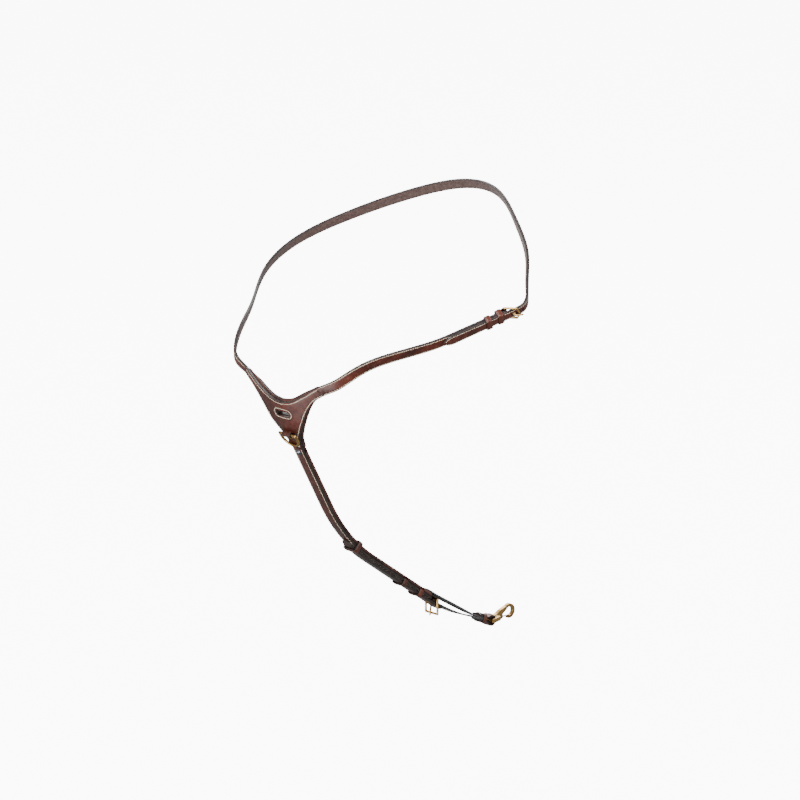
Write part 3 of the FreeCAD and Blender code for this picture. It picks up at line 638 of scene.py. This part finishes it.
def neck_stitches(name, t0, t1, top, half_at=lambda t: NECK_HALF):
    """Both stitch rows of a neck strap whose face is at top(t), from t0 to t1."""
    drop = crown_drop(NECK_HALF - INSET, NECK_HALF, CROWN, THREAD_DEPTH)
    ts = np.linspace(t0, t1, int((t1 - t0) * 40))
    for side, sign in (("upper", 1), ("lower", -1)):
        points, outs = [], []
        for t, (place, across, out) in zip(ts, neck_frames(ts)):
            inset = max(half_at(t) - INSET, 0.3)
            points.append(place + across * sign * inset + out * (top(t) - drop))
            outs.append(out)
        stitches(f"{name}_{side}", evenly(points, outs, PITCH))


T_HEEL = loop_at(-3.8)
T_TIP = loop_at(-89)
ts = np.linspace(0, T_HEEL, 150)
near = sweep("near_strap", neck_frames(ts), [strap_ring(NECK_HALF, -NECK_THICK, 0) for t in ts],
             STRAP_SEGMENTS, [FACE, EDGE, INNER])
dress(near, "harness", "bridle_leather", "neck_buckle_strap")
neck_stitches("near_stitches", 0.02, loop_at(-5), lambda t: 0)

tip_place = loop_frame(T_TIP)[0]


def long_half(t):
    """Half width of the long strap, narrowed at its point."""
    return tip_half(NECK_HALF, (loop_frame(t)[0] - tip_place).dot(RUN), 14) if t < 8 else NECK_HALF


ts = np.concatenate([np.linspace(T_TIP, T_TIP + 0.5, 24), np.linspace(T_TIP + 0.54, LOOP_END, 320)])
rings = [strap_ring(long_half(t), outer_level(t), outer_level(t) + NECK_THICK, NECK_HALF)
         for t in ts]
long_strap = sweep("long_strap", neck_frames(ts), rings, STRAP_SEGMENTS, [FACE, EDGE, INNER])
# The tongue's oblong hole, then the three adjusting holes beyond the buckle.
cutters = [round_cutter(on_buckle(9.7, 0, 2), b_side, b_run, b_out, 2.1, 6, 4.2)]
for hole in range(3):
    place, run, side, out = loop_frame(loop_at(22) + hole * 0.95)
    cutters.append(round_cutter(place, side, run, out, 1.8))
cut(long_strap, cutters)
dress(long_strap, "harness", "bridle_leather", "neck_strap")
neck_stitches("far_stitches", loop_at(-87), LOOP_END - 0.02, lambda t: outer_level(t) + NECK_THICK,
              long_half)

# ---- leather loops round bars and straps -------------------------------------------------


def band(name, to_space, path, half, thick):
    """Strip of leather that follows (x, z) points of a local frame, as wide as 2 half in y."""
    frames, rings = [], []
    count = len(path)
    for i, (x, z) in enumerate(path):
        x0, z0 = path[max(i - 1, 0)]
        x1, z1 = path[min(i + 1, count - 1)]
        place = to_space(x, 0, z)
        run = unit(to_space(x1, 0, z1) - to_space(x0, 0, z0))
        across = unit(to_space(x, 1, z) - place)
        frames.append((place, across, np.cross(run, across)))
        rings.append(strap_ring(half, -thick / 2, thick / 2, crown=0.2, groove=0.0))
    return sweep(name, frames, rings, STRAP_SEGMENTS, [KEEPER_FACE, EDGE, KEEPER_FACE])


def arc(centre, radius, start, end, count=14):
    """Points (x, z) of an arc between two angles in degrees."""
    return [(centre[0] + radius * math.cos(a), centre[1] + radius * math.sin(a))
            for a in (math.radians(turn) for turn in np.linspace(start, end, count))]


def rounded_loop(low, high, corner, wall):
    """Middle line (y, z) of a keeper's wall round a box, evenly spaced, counter-clockwise."""
    y0, z0 = low[0] - wall / 2, low[1] - wall / 2
    y1, z1 = high[0] + wall / 2, high[1] + wall / 2
    points = []
    for cy, cz, start in ((y1 - corner, z1 - corner, 0), (y0 + corner, z1 - corner, 90),
                          (y0 + corner, z0 + corner, 180), (y1 - corner, z0 + corner, 270)):
        points += arc((cy, cz), corner, start, start + 90, 7)
    dense = np.array(points + points[:1])
    steps = np.concatenate([[0], np.cumsum(np.linalg.norm(np.diff(dense, axis=0), axis=1))])
    stops = np.linspace(0, steps[-1], 80, endpoint=False)
    return [(np.interp(s, steps, dense[:, 0]), np.interp(s, steps, dense[:, 1])) for s in stops]


KEEPER_CORNER = 1.7
KEEPER_WALL = 1.5


def keeper(name, to_space, at, low, high, length, wall, body, node):
    """Leather keeper: a crowned band, creased near both edges, closed round the straps."""
    loop = rounded_loop(low, high, KEEPER_CORNER, wall)
    frames, rings = [], []
    h = length / 2
    ring = [(-h + 0.35, 0.28), (-h + 0.9, 0.52), (-h + 1.3, 0.42), (-h + 1.7, 0.62), (0, 0.75),
            (h - 1.7, 0.62), (h - 1.3, 0.42), (h - 0.9, 0.52), (h - 0.35, 0.28), (h, 0.0),
            (h - 0.3, -0.7), (0, -0.75), (-h + 0.3, -0.7), (-h, 0.0)]
    ring = [(a, z * wall / KEEPER_WALL) for a, z in ring]
    for i, (y, z) in enumerate(loop):
        y0, z0 = loop[i - 1]
        y1, z1 = loop[(i + 1) % len(loop)]
        place = to_space(at, y, z)
        along = unit(to_space(at + 1, y, z) - place)
        out = unit(to_space(at, y + (z1 - z0), z - (y1 - y0)) - place)
        frames.append((place, along, out))
        rings.append(ring)
    obj = sweep(name, frames, rings, [0] * 8 + [1, 1, 0, 0, 1, 1], [KEEPER_FACE, EDGE], closed=True)
    dress(obj, body, "bridle_leather", node)


keeper("neck_fixed_loop", on_buckle, -8.5, (-7.1, -6.2), (7.1, 4.0), 8, KEEPER_WALL, "harness",
       "neck_fixed_keeper")
keeper("neck_sliding_loop", on_buckle, -25, (-7.4, -4.2), (7.4, 4.3), 8, KEEPER_WALL, "neck_keeper",
       "neck_sliding_keeper")
keeper("girth_sliding_loop", on_stem(220.2), 0, (-9.9, -8.5), (9.9, 4.1), 8, KEEPER_WALL,
       "girth_keeper", "girth_sliding_keeper")
for label, distance in FIXED_KEEPERS:
    keeper(label + "_loop", on_stem(distance), 0, (-8.7, -3.85), (8.7, 4.1), 8, 1.4, "harness",
           label + "_keeper")
keeper("tab_loop", TAB, 8.7, (-7.55, -4.55), (7.55, 4.55), 6, KEEPER_WALL, "harness", "tab_keeper")


def buckle_chape(name, to_space, path, half, low, high, node):
    """Strap end folded round a heel bar, with a slot for the tongue cut from low to high."""
    chape = band(name, to_space, path, half, 1.9)
    floor_corners = [to_space(x, y, low) for x, y in ((-4, -2.2), (5, -2.2), (5, 2.2), (-4, 2.2))]
    cut(chape, [prism_object(floor_corners, to_space(0, 0, high) - to_space(0, 0, low))])
    dress(chape, "harness", "bridle_leather", node)


path = [(-13, -5.0), (-10, -5.0), (-7, -5.0), (-4.5, -5.1), (-2.2, -5.7)]
path += arc((0, -3.6), 2.53, -100, 100, 16) + [(-2.0, -1.15), (-3.7, -1.15)]
buckle_chape("neck_buckle_chape", on_buckle, path, NECK_HALF - 0.1, -9, 3, "neck_chape")

path = [(-9.8, -5.7), (-7, -5.75), (-4, -5.9), (-2, -6.1)]
path += arc((0, -3.9), 2.53, -100, 100, 16) + [(-2.5, -1.55), (-5.8, -1.6)]
buckle_chape("girth_buckle_chape", on_stem(GIRTH_HEEL), path, STEM_HALF - 0.1, -12, 4,
             "girth_chape")

rise = [(2.82, 0.4), (2.82, 1.6), (2.82, 2.8)]
path = [(-x, z) for x, z in rise] + arc((0, 3.9), 2.82, 180, 0, 14) + rise[::-1]
chape = band("dee_chape_strap", on_stem(16.1), path, 6.9, 1.7)
dress(chape, "harness", "bridle_leather", "dee_chape")

# ---- yoke --------------------------------------------------------------------------------


def smooth_line(points, per=24):
    """Catmull-Rom curve through 2D points, as a dense list."""
    p = [np.array(q, float) for q in points]
    p = [2 * p[0] - p[1]] + p + [2 * p[-1] - p[-2]]
    found = []
    for i in range(1, len(p) - 2):
        for f in np.linspace(0, 1, per, endpoint=False):
            a, b, c, d = p[i - 1:i + 3]
            found.append(0.5 * (2 * b + (c - a) * f + (2 * a - 5 * b + 4 * c - d) * f * f
                                + (3 * b - a - 3 * c + d) * f ** 3))
    return found + [p[-2]]


def resample(points, count):
    """The same line through count evenly spaced points."""
    points = np.array(points)
    steps = np.concatenate([[0], np.cumsum(np.linalg.norm(np.diff(points, axis=0), axis=1))])
    stops = np.linspace(0, steps[-1], count)
    return np.stack([np.interp(stops, steps, points[:, k]) for k in range(points.shape[1])], axis=1)


def moved_out(points, distance):
    """The line moved sideways, to the right of its run."""
    points = np.array(points)
    run = np.gradient(points, axis=0)
    run /= np.linalg.norm(run, axis=1)[:, None]
    return points + np.stack([run[:, 1], -run[:, 0]], axis=1) * distance


ACROSS, DOWN = 84, 5  # points along the yoke's lower line, and down each of its ends
NO_LIMIT = 200


def yoke_outline(grow, reach=NO_LIMIT, foot=NO_LIMIT):
    """Closed outline (w, d): top from left to right, right end, lower line back, left end. It is
    moved out by grow, and keeps within reach across and foot down. Also the top's point count."""
    half_arch = smooth_line(ARCH)
    whole_arch = [(-w, d) for w, d in reversed(half_arch[1:])] + [tuple(p) for p in half_arch]
    arch = moved_out(whole_arch, grow)
    flank = moved_out(smooth_line(FLANK), grow)
    arch = arch[np.abs(arch[:, 0]) <= reach]
    flank = flank[(np.abs(flank[:, 0]) <= reach) & (flank[:, 1] <= foot)]
    right = resample(flank, ACROSS // 2 - 3)
    foot_line = [(w, right[-1][1]) for w in np.linspace(right[-1][0], -right[-1][0], 8)[1:-1]]
    left = [(-w, d) for w, d in right[::-1]]
    lower = np.array(list(map(tuple, right)) + foot_line + left)
    top = resample(arch, len(lower))
    right_end = np.linspace(top[-1], lower[0], DOWN + 2)[1:-1]
    left_end = np.linspace(lower[-1], top[0], DOWN + 2)[1:-1]
    return np.concatenate([top, right_end, lower, left_end]), len(top)


def inset_ring(outline, distance):
    """The closed outline moved inwards, with mitred corners."""
    before = np.roll(outline, 1, axis=0)
    after = np.roll(outline, -1, axis=0)
    e1, e2 = outline - before, after - outline
    e1 /= np.linalg.norm(e1, axis=1)[:, None]
    e2 /= np.linalg.norm(e2, axis=1)[:, None]
    n1, n2 = np.stack([-e1[:, 1], e1[:, 0]], 1), np.stack([-e2[:, 1], e2[:, 0]], 1)
    joint = (n1 + n2) / np.maximum(1 + (n1 * n2).sum(1), 0.35)[:, None]
    return outline + joint * distance


def plate(name, outline, top_count, front, back, insets, materials):
    """Closed plate with the yoke's curve: rings in from the outline, then a grid. front and back
    give the depths of its two sides at a distance from the edge and a place (w, d)."""
    rings = [inset_ring(outline, e) for e in insets]
    inner = rings[-1]
    count = len(outline)
    top = inner[:top_count]
    lower = inner[top_count + DOWN:2 * top_count + DOWN][::-1]
    points, faces, kinds, starts = [], [], [], []
    for depth_at, order in ((front, 1), (back, -1)):
        start = len(points)
        for ring, e in zip(rings, insets):
            points += [yoke_point(w, d, depth_at(e, w, d)) for w, d in ring]
        for r in range(len(rings) - 1):
            for k in range(count):
                m = (k + 1) % count
                a = start + r * count
                faces.append((a + k, a + m, a + count + m, a + count + k))
                kinds.append((1 if r < 1 else 0) if order == 1 else 2)
        base = start + (len(rings) - 1) * count
        grid = [[base + c for c in range(top_count)]]
        for row in range(DOWN):
            line = [base + 2 * top_count + DOWN + (DOWN - 1 - row)]
            f = (row + 1) / (DOWN + 1)
            for c in range(1, top_count - 1):
                w, d = top[c] * (1 - f) + lower[c] * f
                e = insets[-1] + min(f, 1 - f) * np.linalg.norm(top[c] - lower[c])
                points.append(yoke_point(w, d, depth_at(e, w, d)))
                line.append(len(points) - 1)
            line.append(base + top_count + row)
            grid.append(line)
        grid.append([base + top_count + DOWN + (top_count - 1 - c) for c in range(top_count)])
        for upper_row, lower_row in zip(grid, grid[1:]):
            for c in range(top_count - 1):
                faces.append((upper_row[c], upper_row[c + 1], lower_row[c + 1], lower_row[c]))
                kinds.append(0 if order == 1 else 2)
        starts.append(start)
    for k in range(count):
        m = (k + 1) % count
        faces.append((starts[0] + k, starts[0] + m, starts[1] + m, starts[1] + k))
        kinds.append(1)
    return make(name, points, faces, materials, kinds, None, 45)


YOKE_INSET = 2.2  # from the yoke's edge to its stitches


def front_depth(e, w, d):
    """Rounded edge, with a groove for the stitches."""
    edge = 0.75 * (1 - min(e, 0.6) / 0.6) ** 2 + 0.25 * max(0, 1 - e / 3.5)
    return edge + (0.25 if abs(e - YOKE_INSET) < 0.3 else 0)


def back_depth(e, w, d):
    return YOKE_THICK - 0.4 * max(0, 1 - e / 0.5)


outline, tops = yoke_outline(0)
yoke = plate("yoke", outline, tops, front_depth, back_depth, [0.0, 0.35, 0.9, 1.6, 2.2, 2.8, 3.5],
             [YOKE_FACE, EDGE, INNER])
SLOT_DISTANCE, SLOT_HALF, SLOT_REACH = 38, 3.5, 8.5
SLOT_AT = FOLD + fall(UPPER_SLOPE) * (SLOT_DISTANCE - FOLD_DISTANCE)


def slot_cutter(extra):
    """Oblong cutter square to the yoke's upper part, wider than the slot by extra all round."""
    half = SLOT_HALF + extra
    line = []
    for k in range(32):
        turn = 2 * math.pi * (k + 0.5) / 32
        shift = SLOT_REACH * (1 if math.cos(turn) >= 0 else -1)
        line.append(SLOT_AT + X * (half * math.cos(turn) + shift)
                    + fall(UPPER_SLOPE) * half * math.sin(turn) + facing(UPPER_SLOPE) * 25)
    return prism_object(line, facing(UPPER_SLOPE) * -50)


cut(yoke, [slot_cutter(0)], 45)
dress(yoke, "harness", "bridle_leather", "yoke_front")

stitch_line = inset_ring(outline, YOKE_INSET)
top_line, lower_line = stitch_line[:tops], stitch_line[tops + DOWN:2 * tops + DOWN]
for label, part in (("top", top_line), ("lower", lower_line)):
    spots = [yoke_point(w, d, THREAD_DEPTH) for w, d in part]
    stitches("yoke_stitches_" + label, evenly(spots, [yoke_normal(w) for w, d in part], PITCH))

RIM = 6.3  # half the height of the stitched ring round the slot
RIM_SLOPE = 20
rim, outs = [], []
for k in range(65):
    turn = 2 * math.pi * k / 64
    w = RIM * math.cos(turn) + SLOT_REACH * math.tanh(4 * math.cos(turn))
    rim.append(yoke_point(w, SLOT_DISTANCE - RIM * math.sin(turn), 0.0))
    outs.append(yoke_normal(w, RIM_SLOPE))
stitches("slot_stitches", evenly(rim, outs, SLOT_PITCH))

PAD_REACH, PAD_FOOT, PAD_GROW = 63.8, 92.8, 2.2
PAD_TOP = 3.7  # depth of the lining's front under the yoke's face


def thinning(w):
    """1 over the middle of the yoke, falling as the padding runs out along the arms."""
    f = min(max((PAD_REACH - abs(w)) / 26, 0), 1)
    return 0.22 + 0.78 * f * f * (3 - 2 * f)


def lining_back(e, w, d):
    f = min(e / 8.0, 1)
    return PAD_TOP + (3.0 + 3.0 * math.sqrt(max(0, 1 - (1 - f) ** 2))) * thinning(w)


def lining_front(e, w, d):
    f = min(e / 3.0, 1)
    return PAD_TOP + 2.6 * (1 - math.sqrt(max(0, 1 - (1 - f) ** 2))) * thinning(w)


# The lining stands proud of the yoke's edge in the middle, and runs level with it at the arms.
proud, pad_tops = yoke_outline(PAD_GROW, PAD_REACH, PAD_FOOT)
level, _ = yoke_outline(0, PAD_REACH, PAD_FOOT)
share = np.array([thinning(w) for w, d in proud])[:, None]
lining = plate("yoke_pad", level * (1 - share) + proud * share, pad_tops, lining_front, lining_back,
               [0.0, 0.25, 0.8, 1.6, 2.6, 4.0, 5.6], [LINING, LINING, LINING])
cut(lining, [slot_cutter(-0.7)], 50)
dress(lining, "harness", "lining_leather", "yoke_lining")

# ---- stem --------------------------------------------------------------------------------


def stem_frames(stops):
    return [(stem_place(s), X, facing(stem_slope(s))) for s in stops]


stops = np.arange(41.5, 383.01, 3.05)
stem = sweep("stem", stem_frames(stops), [strap_ring(STEM_HALF, -STEM_THICK, 0) for s in stops],
             STRAP_SEGMENTS, [STEM_FACE, EDGE, INNER])
dress(stem, "harness", "bridle_leather", "stem_strap")
line = np.arange(43.0, 381, 2.0)
row = STEM_HALF - INSET
drop = crown_drop(row, STEM_HALF, CROWN, THREAD_DEPTH)
for side, sign in (("left", -1), ("right", 1)):
    spots = [stem_place(s, -drop) + X * sign * row for s in line]
    stitches("stem_stitches_" + side, evenly(spots, [facing(stem_slope(s)) for s in line], PITCH))

# The padding has a groove for each thing that lies between it and the stem: the two fixed keepers
# and the stud's washer. It thins over its last few millimetres.
PAD_END = 379
STUD_AT = 49.6
stops = np.arange(41.5, PAD_END + 0.01, 1.5)
rings = []
for s in stops:
    near_end = max(0, 1 - (PAD_END - s) / 5)
    groove = any(abs(s - at) < 4.2 for _, at in FIXED_KEEPERS) or abs(s - STUD_AT) < 3.6
    top = -5.6 if groove else -3.9
    low, half = -8.1 + 1.2 * near_end ** 2, 9.5 - 1.2 * near_end ** 2
    right = [(half - 1.4, top), (half - 0.5, top - 0.45), (half, top - 1.2),
             (half - 0.15, low + 1.4), (half - 0.9, low + 0.6), (half - 2.4, low + 0.15)]
    left = [(-a, z) for a, z in reversed(right)]
    rings.append([left[-1], (0, top)] + right + [(0, low)] + left[:-1])
pad = sweep("stem_pad", stem_frames(stops), rings, [0] * 14, [LINING, LINING], angle=60)
dress(pad, "harness", "lining_leather", "stem_lining")

stops = np.concatenate([np.linspace(BILLET_TIP, 216, 22), np.arange(218, 404.01, 3.0), [404.0]])
rings = [strap_ring(tip_half(BILLET_HALF, s - BILLET_TIP, 15), GAP, GAP + BILLET_THICK, BILLET_HALF,
                    groove=0.3) for s in stops]
billet = sweep("girth_strap", stem_frames(stops), rings, STRAP_SEGMENTS, [GIRTH_FACE, EDGE, INNER])
cutters = []
for hole in range(HOLES):
    s = BUCKLE_HOLE - HOLE_PITCH * (hole + 1)
    cutters.append(round_cutter(stem_place(s), X, fall(stem_slope(s)), facing(stem_slope(s)), 1.8))
cutters.append(round_cutter(stem_place(BUCKLE_HOLE), X, fall(END_SLOPE), facing(END_SLOPE), 1.7,
                            stretch=3.0))
cut(billet, cutters)
dress(billet, "harness", "bridle_leather", "girth_billet")

# ---- elastics and tab --------------------------------------------------------------------


def in_tab(level):
    """Points of an elastic's end inside the tab."""
    return [TAB(x, 0, level) for x in (-8, 0, 5, 10)]


ELASTIC_TWIST = 6


def elastic(name, points, node):
    """Band of webbing with a corded edge, twisted a little between its two ends."""
    hints = [X] * len(points)
    frames = []
    for t in np.linspace(0, len(points) - 1, 70):
        place, run, side, out = frame_at(points, hints, t)
        twist = math.radians(ELASTIC_TWIST) * math.sin(math.pi * min(1, t / (len(points) - 4)))
        frames.append((place, side * math.cos(twist) - out * math.sin(twist),
                       out * math.cos(twist) + side * math.sin(twist)))
    top = [(-6.6, 1.0), (-5.6, 0.86), (0, 1.0), (5.6, 0.86), (6.6, 1.0), (7, 0.5)]
    ring = top + [(7, -0.5)] + [(a, -z) for a, z in reversed(top[:-1])] + [(-7, -0.5), (-7, 0.5)]
    obj = sweep(name, frames, [ring] * len(frames), [0] * 14, [WEB, WEB])
    dress(obj, "harness", "elastic_web", node)


elastic("elastic_upper", [stem_place(s, -9.2) for s in (370, 382, 394)]
        + [vec(0, 288, -346), vec(0, 306, -357)] + in_tab(-1.05), "upper_elastic")
elastic("elastic_lower", [stem_place(s, -1.0) for s in (395, 400, 405)]
        + [vec(0, 285, -354.5), vec(0, 305, -364)] + in_tab(1.05), "lower_elastic")

upper = [(0, 3.3), (3, 3.3), (6, 3.3), (9, 3.3), (11.5, 2.9), (13.5, 2.3), (15.3, 2.6), (17, 3.6),
         (18.6, 4.7)]
path = upper + arc((23.3, 0), 6.1, 122, -122, 26)[1:-1] + [(x, -z) for x, z in reversed(upper)]
tab = band("snap_tab_strap", TAB, path, 7.4, 2.4)
dress(tab, "harness", "bridle_leather", "snap_tab")

# ---- hardware ----------------------------------------------------------------------------

for name, material, slot in (
        ("neck_buckle_frame", BRASS, "brass"), ("neck_buckle_tongue", BRASS, "brass"),
        ("girth_buckle_frame", BRASS, "brass"), ("girth_buckle_tongue", BRASS, "brass"),
        ("dee_ring", BRASS, "brass"), ("snap_hook", BRASS, "brass"), ("snap_gate", BRASS, "brass"),
        ("gate_pin", BRASS, "brass"), ("gate_spring", STEEL, "spring_steel"),
        ("stud_head", NICKEL, "nickel"), ("stud_post", NICKEL, "nickel"),
        ("stud_washer", NICKEL, "nickel")):
    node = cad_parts[name]
    node.data.materials.clear()
    node.data.materials.append(material)
    weld = node.modifiers.new("weld", "WELD")
    weld.merge_threshold = 0.00001
    if name in ("snap_hook", "snap_gate"):
        bevel = node.modifiers.new("bevel", "BEVEL")
        bevel.width = 0.0005
        bevel.segments = 3
        bevel.limit_method = "ANGLE"
        bevel.angle_limit = math.radians(40)
        bevel.harden_normals = True

# ---- stage -------------------------------------------------------------------------------

# The floor shines evenly to give a pale ground, and lights nothing but the camera's own view.
FLOOR_LEVEL, FLOOR_HALF = -0.84, 20
floor_mesh = bpy.data.meshes.new("floor")
floor_mesh.from_pydata([(x * FLOOR_HALF, y * FLOOR_HALF, FLOOR_LEVEL)
                        for x, y in ((-1, -1), (1, -1), (1, 1), (-1, 1))], [], [(0, 1, 2, 3)])
floor = bpy.data.objects.new("floor", floor_mesh)
bpy.context.scene.collection.objects.link(floor)
pale = Nodes("pale_floor")
pale.set(Base_Color=(0.9, 0.9, 0.9, 1), Roughness=0.9, Emission_Color=(1, 1, 1, 1),
         Emission_Strength=9.0)
floor_mesh.materials.append(pale.material)
floor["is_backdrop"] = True
floor.visible_diffuse = False
floor.visible_glossy = False

# The surroundings grow paler with height.
world = bpy.data.worlds.new("studio")
world.use_nodes = True
studio = world.node_tree
direction = studio.nodes.new("ShaderNodeTexCoord")
height = studio.nodes.new("ShaderNodeSeparateXYZ")
studio.links.new(direction.outputs["Generated"], height.inputs[0])
glow = studio.nodes.new("ShaderNodeMapRange")
for socket, number in zip(glow.inputs[1:5], (-0.7, 0.9, 0.34, 0.7)):
    socket.default_value = number
studio.links.new(height.outputs[2], glow.inputs[0])
studio.links.new(glow.outputs[0], studio.nodes["Background"].inputs[0])
bpy.context.scene.world = world

# The camera looks from a long way off, so that it sees the part almost without perspective.
VIEW_TURN, VIEW_RISE, VIEW_DISTANCE = math.radians(46), math.radians(16), 30.0
TOWARDS = vec(math.sin(VIEW_TURN) * math.cos(VIEW_RISE), -math.cos(VIEW_TURN) * math.cos(VIEW_RISE),
              math.sin(VIEW_RISE))
RIGHT = vec(math.cos(VIEW_TURN), math.sin(VIEW_TURN), 0)
UP = np.cross(TOWARDS, RIGHT)
aim = (145.6 * RIGHT - 21.9 * UP - REST) * MM


def lamp(name, offset, size, power):
    """Rectangular lamp at an offset from the part's middle, turned towards it."""
    data = bpy.data.lights.new(name, "AREA")
    data.shape = "RECTANGLE"
    data.size, data.size_y = size
    data.energy = power
    obj = bpy.data.objects.new(name, data)
    obj.location = Vector(aim + offset)
    obj.rotation_mode = "QUATERNION"
    obj.rotation_quaternion = Vector(-offset).to_track_quat("-Z", "Y")
    obj.visible_camera = False
    bpy.context.scene.collection.objects.link(obj)


lamp("key", -RIGHT * 1.0 + UP * 2.4 + TOWARDS * 2.2, (2.2, 1.4), 170)
lamp("fill", RIGHT * 2.6 + UP * 0.8 + TOWARDS * 1.6, (1.4, 2.4), 60)
lamp("low", -RIGHT * 1.2 - UP * 1.0 + TOWARDS * 2.6, (2.0, 1.2), 70)
lamp("back", -TOWARDS * 2.2 + UP * 2.4, (2.6, 1.4), 70)
lamp("bounce", vec(-0.35, -1.1, -0.56), (1.0, 0.5), 8)

camera = bpy.data.cameras.new("camera")
camera.lens = 1080
camera.sensor_width = 36
camera.clip_end = 60
cam = bpy.data.objects.new("camera", camera)
cam.location = Vector(aim + TOWARDS * VIEW_DISTANCE)
cam.rotation_mode = "QUATERNION"
cam.rotation_quaternion = Vector(-TOWARDS).to_track_quat("-Z", "Y")
bpy.context.scene.collection.objects.link(cam)
bpy.context.scene.camera = cam

low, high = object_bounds()
